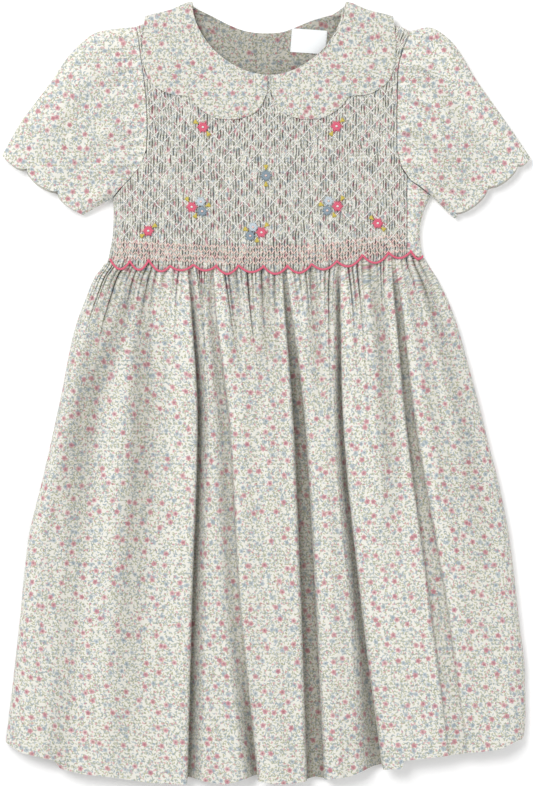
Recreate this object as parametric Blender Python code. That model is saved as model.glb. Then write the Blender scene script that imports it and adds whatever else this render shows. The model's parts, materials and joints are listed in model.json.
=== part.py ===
"""A child's smocked dress, laid flat on its back: the pieces that are cut and sewn, as solids.

Frame: metres, +Z up. The front of the dress faces +Z, its neck is towards +Y and its hem towards -Y.
The origin is on the surface that the dress lies on, under the middle of its outline.
Run with: blender --background --python part.py
"""
from collections import namedtuple
import math

import bmesh
import bpy
from mathutils import Vector

# Driving sizes
WALL = 0.0012            # thickness of the cotton with its seam allowances
SEAM_GAP = 0.0003        # room between two pieces at a seam
ARMHOLE_GAP = 0.0005     # room between sleeve and bodice round the curved armhole
BODICE_HEIGHT = 0.0110   # outer face of the bodice front between its pleats
SIDE_SEAM_HEIGHT = 0.0040
SIDE_ROLL = 0.0120       # how far in the bodice's rounded sides reach
SHOULDER_SEAM_HEIGHT = 0.0068
SHOULDER_ROLL = 0.0080

PLEATS_LEFT_WING = 10    # smocking pleats below the left armhole
PLEATS_CHEST = 72
PLEATS_RIGHT_WING = 3
PLEAT_RISE = 0.0013
INSIDE_STEP = 6          # points of the outer face for each one of the plain inside
LOW_ROWS = (0.0, 0.025, 0.25, 0.5, 0.75, 1.0)             # bodice rows, from waist to armholes
HIGH_ROWS = (0.0, 0.28, 0.38, 0.62, 0.82, 0.94, 0.988, 1.0)   # and on to the shoulders

SKIRT_HEIGHT = 0.0200    # crest of the skirt's folds
SKIRT_ROLL = 0.0220
GATHER_RISE = 0.0017

SLEEVE_GATHERS = 10
SLEEVE_EDGE_HEIGHT = 0.0050
SCALLOP_DEPTH = 0.0050

COLLAR_WALL = 0.0013
COLLAR_CENTRE = 0.0024   # where the two collar halves meet
COLLAR_FOLD_REACH = 0.0095

NECK_CENTRE = 0.0010
NECK_HALF_WIDTH = 0.0640
NECK_TOP = 0.3280
FRONT_NECK_DEPTH = 0.0602
FRONT_NECK_ROUND = 1.8   # exponent of the front neckline's superellipse
BACK_NECK_DEPTH = 0.0240

LEFT_LAP_END = 0.0082    # left back half ends here, on the outside of the placket
RIGHT_LAP_END = -0.0085  # right back half ends here, on the inside
LAP_RISE = 0.0015
COLLAR_LIFT = 0.0015     # room under the backs for the collar's back
BUTTON_LIFT = 0.0021
BUTTON_RADIUS = 0.0050
BUTTON_THICKNESS = 0.0018
BUTTON_HEIGHTS = (0.2380, 0.1900, 0.1420)
BUTTON_SIDES = 16

LABEL_WIDTH = 0.0300
LABEL_DEPTH = 0.0200
LABEL_WALL = 0.0010
LABEL_CENTRE = (0.0360, 0.2975)
LABEL_TURN = math.radians(-4.0)

# Charts: one row for each level or place, measured on the laid-out dress
Side = namedtuple("Side", "y left right")
BODY_SIDES = (
    Side(0.1040, -0.1385, 0.1370), Side(0.1130, -0.1335, 0.1335), Side(0.1284, -0.1307, 0.1303),
    Side(0.1385, -0.1295, 0.1298), Side(0.1486, -0.1291, 0.1320), Side(0.1570, -0.1293, 0.1345),
    Side(0.1661, -0.1297, 0.1392), Side(0.1800, -0.1300, 0.1392),
)
CHEST_SIDES = (
    Side(0.1000, -0.1030, 0.1112), Side(0.2042, -0.1013, 0.1102), Side(0.2210, -0.1004, 0.1101),
    Side(0.2463, -0.1013, 0.1104), Side(0.2724, -0.1042, 0.1112), Side(0.2884, -0.1066, 0.1148),
    Side(0.3010, -0.1082, 0.1200), Side(0.3200, -0.1110, 0.1245),
)
Place = namedtuple("Place", "x y")
WAIST_SEAM = (
    Place(-0.1385, 0.1095), Place(-0.0980, 0.1078), Place(-0.0560, 0.1057), Place(-0.0140, 0.1044),
    Place(0.0280, 0.1048), Place(0.0600, 0.1078), Place(0.0810, 0.1110), Place(0.1030, 0.1135),
    Place(0.1220, 0.1150), Place(0.1370, 0.1140),
)
LEFT_ARMHOLE = (
    Place(-0.1297, 0.1640), Place(-0.1248, 0.1700), Place(-0.1147, 0.1806), Place(-0.1055, 0.1916),
    Place(-0.1013, 0.2042),
)
RIGHT_ARMHOLE = (
    Place(0.1102, 0.2042), Place(0.1139, 0.1903), Place(0.1215, 0.1790), Place(0.1300, 0.1735),
    Place(0.1392, 0.1661),
)
SIDE_SEAM_RIGHT = 0.1188   # the wrapped right side meets the smocking here
LEFT_FOOT = -0.1352        # where the bodice's sides reach the waist
RIGHT_FOOT = 0.1350
SHOULDERS = (
    Place(-0.1160, 0.3070), Place(-0.1004, 0.3132), Place(-0.0810, 0.3195), Place(-0.0630, 0.3265),
    Place(0.0650, 0.3265), Place(0.0789, 0.3222), Place(0.0958, 0.3160), Place(0.1126, 0.3098),
    Place(0.1260, 0.3035),
)
COLLAR_FOLD = (
    Place(-0.1180, 0.3125), Place(-0.1004, 0.3190), Place(-0.0810, 0.3240), Place(-0.0630, 0.3305),
    Place(0.0650, 0.3303), Place(0.0789, 0.3278), Place(0.0958, 0.3212), Place(0.1180, 0.3135),
)
SKIRT_SIDES = (
    Side(-0.3300, -0.2225, 0.2135), Side(-0.3000, -0.2210, 0.2170), Side(-0.2758, -0.2183, 0.2196),
    Side(-0.2353, -0.2132, 0.2190), Side(-0.1949, -0.2090, 0.2145), Side(-0.1242, -0.2015, 0.2061),
    Side(-0.0838, -0.1922, 0.1985), Side(-0.0434, -0.1821, 0.1884), Side(-0.0029, -0.1737, 0.1783),
    Side(0.0375, -0.1661, 0.1673), Side(0.0577, -0.1610, 0.1615), Side(0.0779, -0.1535, 0.1539),
    Side(0.0981, -0.1450, 0.1438), Side(0.1060, -0.1390, 0.1385), Side(0.1140, -0.1345, 0.1340),
)
HEM = (
    Place(-0.2230, -0.2950), Place(-0.2073, -0.3035), Place(-0.1790, -0.3105), Place(-0.1740, -0.3170),
    Place(-0.1568, -0.3212), Place(-0.1232, -0.3254), Place(-0.0979, -0.3288), Place(-0.0702, -0.3305),
    Place(-0.0700, -0.3242), Place(-0.0558, -0.3271), Place(-0.0347, -0.3305), Place(-0.0221, -0.3271),
    Place(-0.0038, -0.3221), Place(-0.0036, -0.3280), Place(0.0116, -0.3305), Place(0.0284, -0.3288),
    Place(0.0410, -0.3250), Place(0.0520, -0.3262), Place(0.0705, -0.3238), Place(0.0874, -0.3170),
    Place(0.1024, -0.3128), Place(0.1026, -0.3179), Place(0.1185, -0.3170), Place(0.1190, -0.3103),
    Place(0.1547, -0.3061), Place(0.1968, -0.3010), Place(0.2180, -0.2890),
)

# Skirt folds: places across at five levels from waist to hem, with depth, reach and lap at each
FOLD_LEVELS = (0.1065, 0.0779, -0.0232, -0.1747, -0.3229)
Fold = namedtuple("Fold", "name kind x depth reach lap")
CREASES = (
    Fold("outer left", "soft", (-0.1240, -0.1330, -0.1640, -0.1850, -0.1900),
         (0.0015, 0.0028, 0.0028, 0.0010, 0.0000), (0.0045, 0.0060, 0.0090, 0.0090, 0.0090), None),
    Fold("left drag", "soft", (-0.1128, -0.1173, -0.1517, -0.1652, -0.1764),
         (0.0018, 0.0042, 0.0052, 0.0022, 0.0020), (0.0040, 0.0062, 0.0100, 0.0090, 0.0080), None),
    Fold("left valley", "soft", (-0.1004, -0.1029, -0.1046, -0.1139, -0.1215),
         (0.0018, 0.0038, 0.0050, 0.0032, 0.0010), (0.0040, 0.0062, 0.0095, 0.0120, 0.0120), None),
    Fold("short left", "soft", (-0.0272, -0.0260, -0.0250, -0.0240, -0.0240),
         (0.0025, 0.0030, 0.0000, 0.0000, 0.0000), (0.0030, 0.0045, 0.0060, 0.0060, 0.0060), None),
    Fold("short middle", "soft", (-0.0027, -0.0011, 0.0010, 0.0020, 0.0020),
         (0.0025, 0.0038, 0.0000, 0.0000, 0.0000), (0.0030, 0.0045, 0.0060, 0.0060, 0.0060), None),
    Fold("short right", "soft", (0.0377, 0.0402, 0.0460, 0.0480, 0.0480),
         (0.0025, 0.0040, 0.0006, 0.0000, 0.0000), (0.0030, 0.0045, 0.0060, 0.0060, 0.0060), None),
    Fold("thin right", "soft", (0.0898, 0.0941, 0.1025, 0.1060, 0.1100),
         (0.0020, 0.0042, 0.0035, 0.0000, 0.0000), (0.0035, 0.0048, 0.0060, 0.0060, 0.0060), None),
    Fold("right drag", "soft", (0.1310, 0.1399, 0.1680, 0.1850, 0.1960),
         (0.0018, 0.0040, 0.0035, 0.0012, 0.0000), (0.0045, 0.0065, 0.0095, 0.0110, 0.0110), None),
)
FOLDS = (
    Fold("left knife", "left_over", (-0.0667, -0.0655, -0.0617, -0.0663, -0.0701),
         (0.0030, 0.0075, 0.0125, 0.0120, 0.0120), (0.0030, 0.0060, 0.0100, 0.0120, 0.0130),
         (0.0000, 0.0015, 0.0035, 0.0035, 0.0035)),
    Fold("middle", "right_over", (-0.0448, -0.0432, -0.0309, -0.0213, -0.0037),
         (0.0025, 0.0050, 0.0075, 0.0070, 0.0115), (0.0030, 0.0060, 0.0110, 0.0130, 0.0120),
         (0.0000, 0.0000, 0.0000, 0.0005, 0.0035)),
    Fold("deep valley", "valley", (0.0150, 0.0176, 0.0276, 0.0355, 0.0415),
         (0.0030, 0.0080, 0.0135, 0.0135, 0.0125), (0.0030, 0.0060, 0.0115, 0.0140, 0.0155),
         (0.0000, 0.0010, 0.0018, 0.0018, 0.0015)),
    Fold("right knife", "right_over", (0.0630, 0.0642, 0.0680, 0.0831, 0.1025),
         (0.0030, 0.0070, 0.0110, 0.0120, 0.0130), (0.0030, 0.0055, 0.0085, 0.0110, 0.0200),
         (0.0000, 0.0015, 0.0030, 0.0032, 0.0035)),
    Fold("narrow valley", "valley", (0.1076, 0.1110, 0.1215, 0.1446, 0.1640),
         (0.0028, 0.0080, 0.0095, 0.0055, 0.0025), (0.0028, 0.0060, 0.0085, 0.0130, 0.0150),
         (0.0000, 0.0008, 0.0010, 0.0000, 0.0000)),
)
GATHERS = (17, 5, 11, 9, 9, 6)   # gathers between the left side, the folds and the right side

# One fold's section: place across its reach, share of its lap, share of its depth
SectionPoint = namedtuple("SectionPoint", "across lap drop")
KNIFE_SECTION = (
    SectionPoint(-1.00, 0.00, 0.00), SectionPoint(-0.40, 0.60, 0.00), SectionPoint(-0.08, 1.00, 0.08),
    SectionPoint(0.02, 1.05, 0.32), SectionPoint(0.08, -0.10, 0.66), SectionPoint(0.16, -0.70, 0.92),
    SectionPoint(0.38, -0.30, 1.00), SectionPoint(0.68, 0.00, 0.72), SectionPoint(1.00, 0.00, 0.22),
)
VALLEY_SECTION = (
    SectionPoint(-1.00, 0.00, 0.00), SectionPoint(-0.70, 0.60, 0.05), SectionPoint(-0.56, 1.00, 0.32),
    SectionPoint(-0.50, -0.50, 0.78), SectionPoint(-0.24, 0.00, 1.00), SectionPoint(0.24, 0.00, 1.00),
    SectionPoint(0.50, 0.50, 0.78), SectionPoint(0.56, -1.00, 0.32), SectionPoint(0.70, -0.60, 0.05),
    SectionPoint(1.00, 0.00, 0.00),
)
SKIRT_ROWS = (0.0, 0.022, 0.052, 0.10, 0.17, 0.27, 0.40, 0.55, 0.71, 0.86, 1.0)
BACK_FOLDS = (
    Fold("back 1", "soft", (-0.1080, -0.1200, -0.1500, -0.1700, -0.1780),
         (0.0018, 0.0025, 0.0025, 0.0018, 0.0008), (0.0040, 0.0050, 0.0070, 0.0080, 0.0090), None),
    Fold("back 2", "soft", (-0.0850, -0.0880, -0.0980, -0.1120, -0.1240),
         (0.0018, 0.0022, 0.0020, 0.0012, 0.0000), (0.0040, 0.0050, 0.0060, 0.0080, 0.0080), None),
    Fold("back 3", "soft", (-0.0200, -0.0180, -0.0150, -0.0260, -0.0330),
         (0.0020, 0.0025, 0.0025, 0.0024, 0.0020), (0.0040, 0.0055, 0.0080, 0.0090, 0.0100), None),
    Fold("back 4", "soft", (0.0420, 0.0440, 0.0480, 0.0590, 0.0720),
         (0.0018, 0.0022, 0.0022, 0.0018, 0.0006), (0.0040, 0.0050, 0.0070, 0.0080, 0.0090), None),
    Fold("back 5", "soft", (0.0860, 0.0900, 0.1010, 0.1170, 0.1290),
         (0.0016, 0.0024, 0.0018, 0.0004, 0.0000), (0.0040, 0.0050, 0.0060, 0.0080, 0.0080), None),
    Fold("back 6", "soft", (0.1180, 0.1270, 0.1480, 0.1720, 0.1850),
         (0.0018, 0.0024, 0.0025, 0.0022, 0.0014), (0.0040, 0.0050, 0.0070, 0.0090, 0.0100), None),
)

# Sleeves: folded outer edge from beside the shoulder to hem tip, drawn for each side
LEFT_SLEEVE_FOLD = (
    Place(-0.1400, 0.3061), Place(-0.1627, 0.2901), Place(-0.1846, 0.2597),
    Place(-0.2073, 0.2294), Place(-0.2236, 0.2010),
)
RIGHT_SLEEVE_FOLD = (
    Place(0.1370, 0.3092), Place(0.1547, 0.2993), Place(0.1800, 0.2614),
    Place(0.2030, 0.2290), Place(0.2238, 0.1985),
)
LEFT_UNDERARM_TIP = Place(-0.1550, 0.1505)
RIGHT_UNDERARM_TIP = Place(0.1590, 0.1475)
LEFT_NOTCHES = (0.28, 0.66)
RIGHT_NOTCHES = (0.14, 0.53, 0.96)

# Collar: outer edge of the left half at shares of its length, on the chest and on the back
CollarRow = namedtuple("CollarRow", "share x y")
COLLAR_FRONT_EDGE = (
    CollarRow(0.00, 0.0004, 0.2530), CollarRow(0.05, -0.0051, 0.2402), CollarRow(0.12, -0.0147, 0.2338),
    CollarRow(0.20, -0.0276, 0.2306), CollarRow(0.28, -0.0389, 0.2310), CollarRow(0.36, -0.0501, 0.2354),
    CollarRow(0.43, -0.0598, 0.2430), CollarRow(0.48, -0.0655, 0.2500), CollarRow(0.55, -0.0792, 0.2515),
    CollarRow(0.63, -0.0905, 0.2564), CollarRow(0.72, -0.1002, 0.2661), CollarRow(0.84, -0.1048, 0.2884),
    CollarRow(1.00, -0.1025, 0.3182),
)
COLLAR_BACK_EDGE = (
    CollarRow(0.00, -0.0030, 0.2720), CollarRow(0.06, -0.0070, 0.2620), CollarRow(0.16, -0.0210, 0.2555),
    CollarRow(0.28, -0.0390, 0.2545), CollarRow(0.40, -0.0530, 0.2575), CollarRow(0.47, -0.0620, 0.2610),
    CollarRow(0.56, -0.0760, 0.2600), CollarRow(0.66, -0.0890, 0.2650), CollarRow(0.76, -0.0985, 0.2750),
    CollarRow(0.88, -0.1030, 0.2940), CollarRow(1.00, -0.1025, 0.3182),
)

# Finishes: linear base colour and roughness
COTTON_PRINT = (0.68, 0.66, 0.62, 1.0)
SMOCKED_PRINT = (0.53, 0.51, 0.47, 1.0)
LABEL_WHITE = (0.80, 0.82, 0.83, 1.0)
BUTTON_PEARL = (0.78, 0.76, 0.72, 1.0)


def lerp(a, b, share):
    """Point or number part of the way from a to b."""
    return a + (b - a) * share


def ease(share):
    """Soft step from 0 to 1."""
    share = min(max(share, 0.0), 1.0)
    return share * share * (3.0 - 2.0 * share)


def chart_value(keys, values, at):
    """Value at a place in a chart, along smooth runs that never overshoot its rows."""
    if at <= keys[0]:
        return values[0]
    if at >= keys[-1]:
        return values[-1]
    row = max(i for i in range(len(keys) - 1) if keys[i] <= at)
    steps = [keys[i + 1] - keys[i] for i in range(len(keys) - 1)]
    slopes = [(values[i + 1] - values[i]) / steps[i] for i in range(len(steps))]

    def tangent(i):
        if i == 0 or i == len(keys) - 1:
            return slopes[min(i, len(slopes) - 1)]
        before, after = slopes[i - 1], slopes[i]
        return 0.0 if before * after <= 0.0 else 2.0 * before * after / (before + after)

    t = (at - keys[row]) / steps[row]
    rise = values[row + 1] - values[row]
    ends = (tangent(row) * steps[row], tangent(row + 1) * steps[row])
    return values[row] + rise * t * t * (3 - 2 * t) + ends[0] * t * (1 - t) ** 2 - ends[1] * t * t * (1 - t)


def by_y(chart, column, y):
    """Chart column of Side rows at height y, rows in either order."""
    rows = sorted(chart, key=lambda row: row.y)
    return chart_value([row.y for row in rows], [getattr(row, column) for row in rows], y)


def by_x(chart, x):
    """Height of Place rows at x."""
    return chart_value([row.x for row in chart], [row.y for row in chart], x)


def by_x_straight(chart, x):
    """Height of Place rows at x along straight runs, for edges with steps."""
    x = min(max(x, chart[0].x), chart[-1].x)
    row = max(i for i in range(len(chart) - 1) if chart[i].x <= x)
    a, b = chart[row], chart[row + 1]
    return lerp(a.y, b.y, (x - a.x) / (b.x - a.x))


def at_level(values, y):
    """Value of a fold's column at height y."""
    return chart_value([-level for level in FOLD_LEVELS], values, -y)


def along(points, share):
    """Point at a share of a smooth curve through a few places."""
    keys = [0.0]
    for a, b in zip(points, points[1:]):
        keys.append(keys[-1] + math.hypot(b.x - a.x, b.y - a.y))
    at = share * keys[-1]
    return (chart_value(keys, [p.x for p in points], at), chart_value(keys, [p.y for p in points], at))


def roll(distance, reach):
    """Height share of a rounded edge: 0 at the edge, 1 from its reach inwards."""
    inward = min(max(distance / reach, 0.0), 1.0)
    return math.sqrt(max(0.0, 1.0 - (1.0 - inward) ** 2))


def trough(offset, half_width):
    """Bell shape of a soft fold."""
    return math.exp(-(offset / half_width) ** 2)


class Wall:
    """Points and faces of one cloth wall, joined into a closed mesh."""

    def __init__(self):
        self.points = []
        self.faces = []

    def grid(self, rows, closed=False):
        """Add rows of points with faces between them, and return their indices."""
        indices = []
        for row in rows:
            indices.append([None if point is None else self.add(point) for point in row])
        for lower, upper in zip(indices, indices[1:]):
            count = len(lower)
            for i in range(count if closed else count - 1):
                j = (i + 1) % count
                quad = (lower[i], lower[j], upper[j], upper[i])
                if None not in quad:
                    self.faces.append(quad)
        return indices

    def add(self, point):
        """Add one point and return its index."""
        self.points.append(Vector(point))
        return len(self.points) - 1

    def shares(self, run, even):
        """How far along each point of a run is, from 0 to 1, evenly or by distance seen from above."""
        if even:
            return [i / (len(run) - 1) for i in range(len(run))]
        reached = [0.0]
        for a, b in zip(run, run[1:]):
            reached.append(reached[-1] + (self.points[b].xy - self.points[a].xy).length)
        return [value / reached[-1] for value in reached]

    def rim(self, outer, inner):
        """Close the wall's edge between two runs of indices, whatever their counts."""
        even = len(outer) == len(inner)
        outer_shares, inner_shares = self.shares(outer, even), self.shares(inner, even)
        i = j = 0
        while i < len(outer) - 1 or j < len(inner) - 1:
            next_outer = outer_shares[i + 1] if i < len(outer) - 1 else 2.0
            next_inner = inner_shares[j + 1] if j < len(inner) - 1 else 2.0
            if next_outer <= next_inner:
                self.faces.append((outer[i], outer[i + 1], inner[j]))
                i += 1
            else:
                self.faces.append((outer[i], inner[j + 1], inner[j]))
                j += 1

    def make(self, name, material):
        """Make the object, with its faces pointing out."""
        mesh = bpy.data.meshes.new(name)
        mesh.from_pydata(self.points, [], self.faces)
        mesh.materials.append(material)
        shape = bmesh.new()
        shape.from_mesh(mesh)
        bmesh.ops.recalc_face_normals(shape, faces=shape.faces)
        shape.to_mesh(mesh)
        shape.free()
        made = bpy.data.objects.new(name, mesh)
        bpy.context.collection.objects.link(made)
        return made


def offset_rows(rows, depth, closed=False, facing=None):
    """Rows moved inwards along the surface's own normals; depth is positive against +Z.

    At a seam, facing gives the way that the wall's outer side looks, so that both walls meet squarely.
    """
    moved = []
    for r, row in enumerate(rows):
        new_row = []
        for c, point in enumerate(row):
            if point is None:
                new_row.append(None)
                continue
            outward = facing(r, c, point) if facing else None
            if outward is not None:
                new_row.append(Vector(point) - outward * abs(depth))
                continue
            across = neighbour_step(row, c, closed)
            column = [other[c] for other in rows]
            down = neighbour_step(column, r, False)
            normal = across.cross(down)
            normal.normalize()
            new_row.append(Vector(point) - normal * depth)
        moved.append(new_row)
    return moved


def neighbour_step(line, i, closed):
    """Mean direction of a line of points at its point i, from unit steps on each side."""
    here = Vector(line[i])
    total = Vector((0.0, 0.0, 0.0))
    count = len(line)
    before = line[(i - 1) % count] if closed or i > 0 else None
    after = line[(i + 1) % count] if closed or i < count - 1 else None
    if before is not None:
        total += (here - Vector(before)).normalized()
    if after is not None:
        total += (Vector(after) - here).normalized()
    return total


def panel_facing(rows, side_columns, at_corner=None):
    """Facing rule of a panel: its listed side columns look sideways, its shoulders look up.

    Beside the neck's corners it can be given a way of its own.
    """
    last = len(rows) - 1

    def facing(r, c, point):
        if c in side_columns:
            return Vector((side_columns[c], 0.0, 0.0))
        across = abs(point[0] - NECK_CENTRE) / NECK_HALF_WIDTH
        if r == last and across > 1.0:
            return Vector((0.0, 1.0, 0.0))
        if r >= last - 1 and 0.9 < across <= 1.0:
            return at_corner
        return None

    return facing


def side_facing(rows):
    """Facing rule of the skirt: both of its side columns look sideways."""
    ends = {0: -1.0, len(rows[0]) - 1: 1.0}
    return lambda r, c, point: Vector((ends[c], 0.0, 0.0)) if c in ends else None


def material(name, colour, roughness):
    """Principled material of one finish."""
    made = bpy.data.materials.new(name)
    made.use_nodes = True
    shader = made.node_tree.nodes["Principled BSDF"]
    shader.inputs["Base Color"].default_value = colour
    shader.inputs["Roughness"].default_value = roughness
    shader.inputs["Metallic"].default_value = 0.0
    return made


def neck_front(x):
    """Height of the front neckline at x."""
    across = min(abs(x - NECK_CENTRE) / NECK_HALF_WIDTH, 1.0)
    return NECK_TOP - FRONT_NECK_DEPTH * (1.0 - across ** FRONT_NECK_ROUND) ** (1.0 / FRONT_NECK_ROUND)


def neck_back(x):
    """Height of the back neckline at x."""
    across = min(abs(x - NECK_CENTRE) / NECK_HALF_WIDTH, 1.0)
    return NECK_TOP - BACK_NECK_DEPTH * (1.0 - across * across)


def bodice_top(x, neckline):
    """Upper edge of a bodice panel: shoulders outside the neck, the neckline between them."""
    if abs(x - NECK_CENTRE) >= NECK_HALF_WIDTH:
        return by_x(SHOULDERS, x)
    return min(by_x(SHOULDERS, x), neckline(x))


def front_level(x, y):
    """Outer face of the bodice front between its pleats."""
    side = roll(x - by_y(BODY_SIDES, "left", y), SIDE_ROLL)
    low = lerp(SIDE_SEAM_HEIGHT, BODICE_HEIGHT, side)
    shoulder = roll(by_x(SHOULDERS, x) - y, SHOULDER_ROLL)
    return lerp(min(SHOULDER_SEAM_HEIGHT, low), low, shoulder)


def armhole_top(x):
    """Upper end of the bodice's lower half: the armholes outside, a level line on the chest."""
    if x < LEFT_ARMHOLE[-1].x:
        return by_x_straight(LEFT_ARMHOLE, x)
    if x > RIGHT_ARMHOLE[0].x:
        return by_x_straight(RIGHT_ARMHOLE, x)
    return LEFT_ARMHOLE[-1].y


def bodice_columns():
    """Columns of the smocked front: foot, head, and share across the chest or None in the wings."""
    blocks = (
        (PLEATS_LEFT_WING, LEFT_FOOT, CHEST_SIDES[0].left, LEFT_ARMHOLE[0].x, LEFT_ARMHOLE[-1].x),
        (PLEATS_CHEST, CHEST_SIDES[0].left, CHEST_SIDES[0].right, LEFT_ARMHOLE[-1].x, RIGHT_ARMHOLE[0].x),
        (PLEATS_RIGHT_WING, CHEST_SIDES[0].right, SIDE_SEAM_RIGHT, RIGHT_ARMHOLE[0].x, SIDE_SEAM_RIGHT),
    )
    columns = []
    for number, (pleats, foot_a, foot_b, head_a, head_b) in enumerate(blocks):
        for i in range(2 * pleats):
            share = i / (2 * pleats)
            across = share if number == 1 else None
            columns.append((lerp(foot_a, foot_b, share), lerp(head_a, head_b, share), across))
    first_right = 2 * (PLEATS_LEFT_WING + PLEATS_CHEST)
    columns[first_right] = (*columns[first_right][:2], 1.0)
    columns.append((SIDE_SEAM_RIGHT, SIDE_SEAM_RIGHT, None))
    return columns


def inside_columns(columns):
    """Which columns the plain inside keeps: wings, every few on the chest, and the neck's corners."""
    first, last = 2 * PLEATS_LEFT_WING, 2 * (PLEATS_LEFT_WING + PLEATS_CHEST)
    kept = set(range(first)) | set(range(first, last, INSIDE_STEP)) | {last} | set(range(last, len(columns), 2))
    for i in range(first, last):
        here, after = (abs(chest_point(columns[k][2], 1.0, neck_front)[0] - NECK_CENTRE) for k in (i, i + 1))
        if (here < NECK_HALF_WIDTH) != (after < NECK_HALF_WIDTH):
            kept |= {i, i + 1}
    return sorted(kept)


def edge_shift(foot, head, share, y):
    """How far a column moves so that the bodice's side edges follow their chart."""
    if foot < CHEST_SIDES[0].left:
        weight = (CHEST_SIDES[0].left - foot) / (CHEST_SIDES[0].left - LEFT_FOOT)
        return weight * (by_y(BODY_SIDES, "left", y) - lerp(LEFT_FOOT, LEFT_ARMHOLE[0].x, share))
    if foot > CHEST_SIDES[0].right and head != SIDE_SEAM_RIGHT:
        weight = min(1.0, (foot - CHEST_SIDES[0].right) / (RIGHT_FOOT - CHEST_SIDES[0].right))
        return weight * (by_y(BODY_SIDES, "right", y) - lerp(RIGHT_FOOT, RIGHT_ARMHOLE[-1].x, share))
    return 0.0


def bodice_rows(columns, neckline):
    """Places of a bodice panel: its whole width up to the armholes, then the chest alone."""
    rows = []
    for share in LOW_ROWS:
        row = []
        for foot, head, _ in columns:
            y = lerp(by_x(WAIST_SEAM, foot) + SEAM_GAP, armhole_top(head), share)
            row.append((lerp(foot, head, share) + edge_shift(foot, head, share, y), y))
        rows.append(row)
    for share in HIGH_ROWS[1:]:
        rows.append([None if across is None else chest_point(across, share, neckline)
                     for _, _, across in columns])
    return rows


def chest_point(across, share, neckline):
    """Place on the chest above the armholes' widest level."""
    foot = LEFT_ARMHOLE[-1].y
    top = NECK_TOP
    for _ in range(6):
        x = lerp(by_y(CHEST_SIDES, "left", top), by_y(CHEST_SIDES, "right", top), across)
        top = bodice_top(x, neckline)
    y = lerp(foot, top, share)
    return (lerp(by_y(CHEST_SIDES, "left", y), by_y(CHEST_SIDES, "right", y), across), y)


def rim_runs(indices):
    """The runs of a bodice panel's edge, in order: sides, armholes and top."""
    low = len(LOW_ROWS)
    chest = [i for i, index in enumerate(indices[-1]) if index is not None]
    first, last = chest[0], chest[-1]
    top_low = indices[low - 1]
    return [
        indices[0],
        [row[0] for row in indices[:low]],
        top_low[:first + 1],
        [row[first] for row in indices[low - 1:]],
        indices[-1][first:last + 1],
        [row[last] for row in indices[low - 1:]],
        top_low[last:],
        [row[-1] for row in indices[:low]],
    ]


def close_panel(wall, outer, inner):
    """Close a bodice panel's edge, run by run."""
    for a, b in zip(rim_runs(outer), rim_runs(inner)):
        if len(a) > 1:
            wall.rim(a, b)


def make_bodice_front(finish):
    """Smocked front: pleats raised in the outer face over a plain inside."""
    columns = bodice_columns()
    base = [[None if p is None else (*p, front_level(*p)) for p in row]
            for row in bodice_rows(columns, neck_front)]
    last = len(base) - 1
    outer = [[None if p is None else raised(p, i, r in (0, last)) for i, p in enumerate(row)]
             for r, row in enumerate(base)]
    kept = inside_columns(columns)
    plain = [[row[i] for i in kept] for row in base]
    straight_down = Vector((0.0, 0.0, 1.0))
    inner = offset_rows(plain, WALL, facing=panel_facing(plain, {0: -1.0}, straight_down))
    wall = Wall()
    close_panel(wall, wall.grid(outer), wall.grid(inner))
    return wall.make("bodice_front", finish)


def raised(point, number, at_seam):
    """Point of the smocked face: every second one is the crest of a pleat, pressed flat at the seams."""
    x, y, z = point
    if at_seam:
        return point
    side = ease((x - by_y(BODY_SIDES, "left", y)) / SIDE_ROLL)
    shoulder = ease((by_x(SHOULDERS, x) - y) / SHOULDER_ROLL)
    return (x, y, z + PLEAT_RISE * (number % 2) * side * shoulder)


def back_lift(x, y, inner_lap):
    """Underside of a bodice back: lifted over the collar, the buttons and the other lap."""
    collar = COLLAR_LIFT * ease((y - 0.2330) / 0.0100)
    near_buttons = ease((0.0180 - abs(x)) / 0.0070) * ease((y - 0.1180) / 0.0100)
    lift = max(collar, BUTTON_LIFT * near_buttons * ease((0.2600 - y) / 0.0100))
    if inner_lap:
        lift += LAP_RISE * ease((0.0135 - x) / 0.0045)
    shoulder = roll(by_x(SHOULDERS, x) - y, SHOULDER_ROLL)
    return lerp(SHOULDER_SEAM_HEIGHT - SEAM_GAP, lift, shoulder)


def back_columns(stops):
    """Columns of a bodice back from (foot, head) places, with their share across the chest."""
    left, right = LEFT_ARMHOLE[-1].x, RIGHT_ARMHOLE[0].x
    return [(foot, head, (head - left) / (right - left) if left <= head <= right else None)
            for foot, head in stops]


def back_rows(columns):
    """Places of a bodice back; near the placket the columns run straight up."""
    rows = bodice_rows(columns, neck_back)
    for row in rows[len(LOW_ROWS):]:
        for i, (_, head, across) in enumerate(columns):
            if across is not None:
                x, y = row[i]
                row[i] = (lerp(head, x, ease((abs(head) - 0.0200) / 0.0600)), y)
    return rows


def make_bodice_back_left(finish):
    """Left back half: from the left side seam to the outer lap of the placket."""
    stops = [(LEFT_FOOT + step, LEFT_ARMHOLE[0].x + step) for step in (0.0, 0.0012, 0.0040)]
    stops += [(-0.1190, LEFT_ARMHOLE[2].x), (-0.1105, LEFT_ARMHOLE[3].x)]
    stops += [(CHEST_SIDES[0].left, LEFT_ARMHOLE[4].x)]
    stops += [(x, x) for x in (-0.0800, -0.0550, -0.0300, -0.0180, -0.0110, 0.0, LEFT_LAP_END)]

    def level(x, y):
        side = roll(x - by_y(BODY_SIDES, "left", y), 0.0050)
        return lerp(SIDE_SEAM_HEIGHT - SEAM_GAP, back_lift(x, y, False), side)

    under = [[None if p is None else (*p, level(*p)) for p in row] for row in back_rows(back_columns(stops))]
    upper = offset_rows(under, -WALL, facing=panel_facing(under, {0: -1.0}))
    wall = Wall()
    close_panel(wall, wall.grid(under), wall.grid(upper))
    return wall.make("bodice_back_left", finish)


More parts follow.
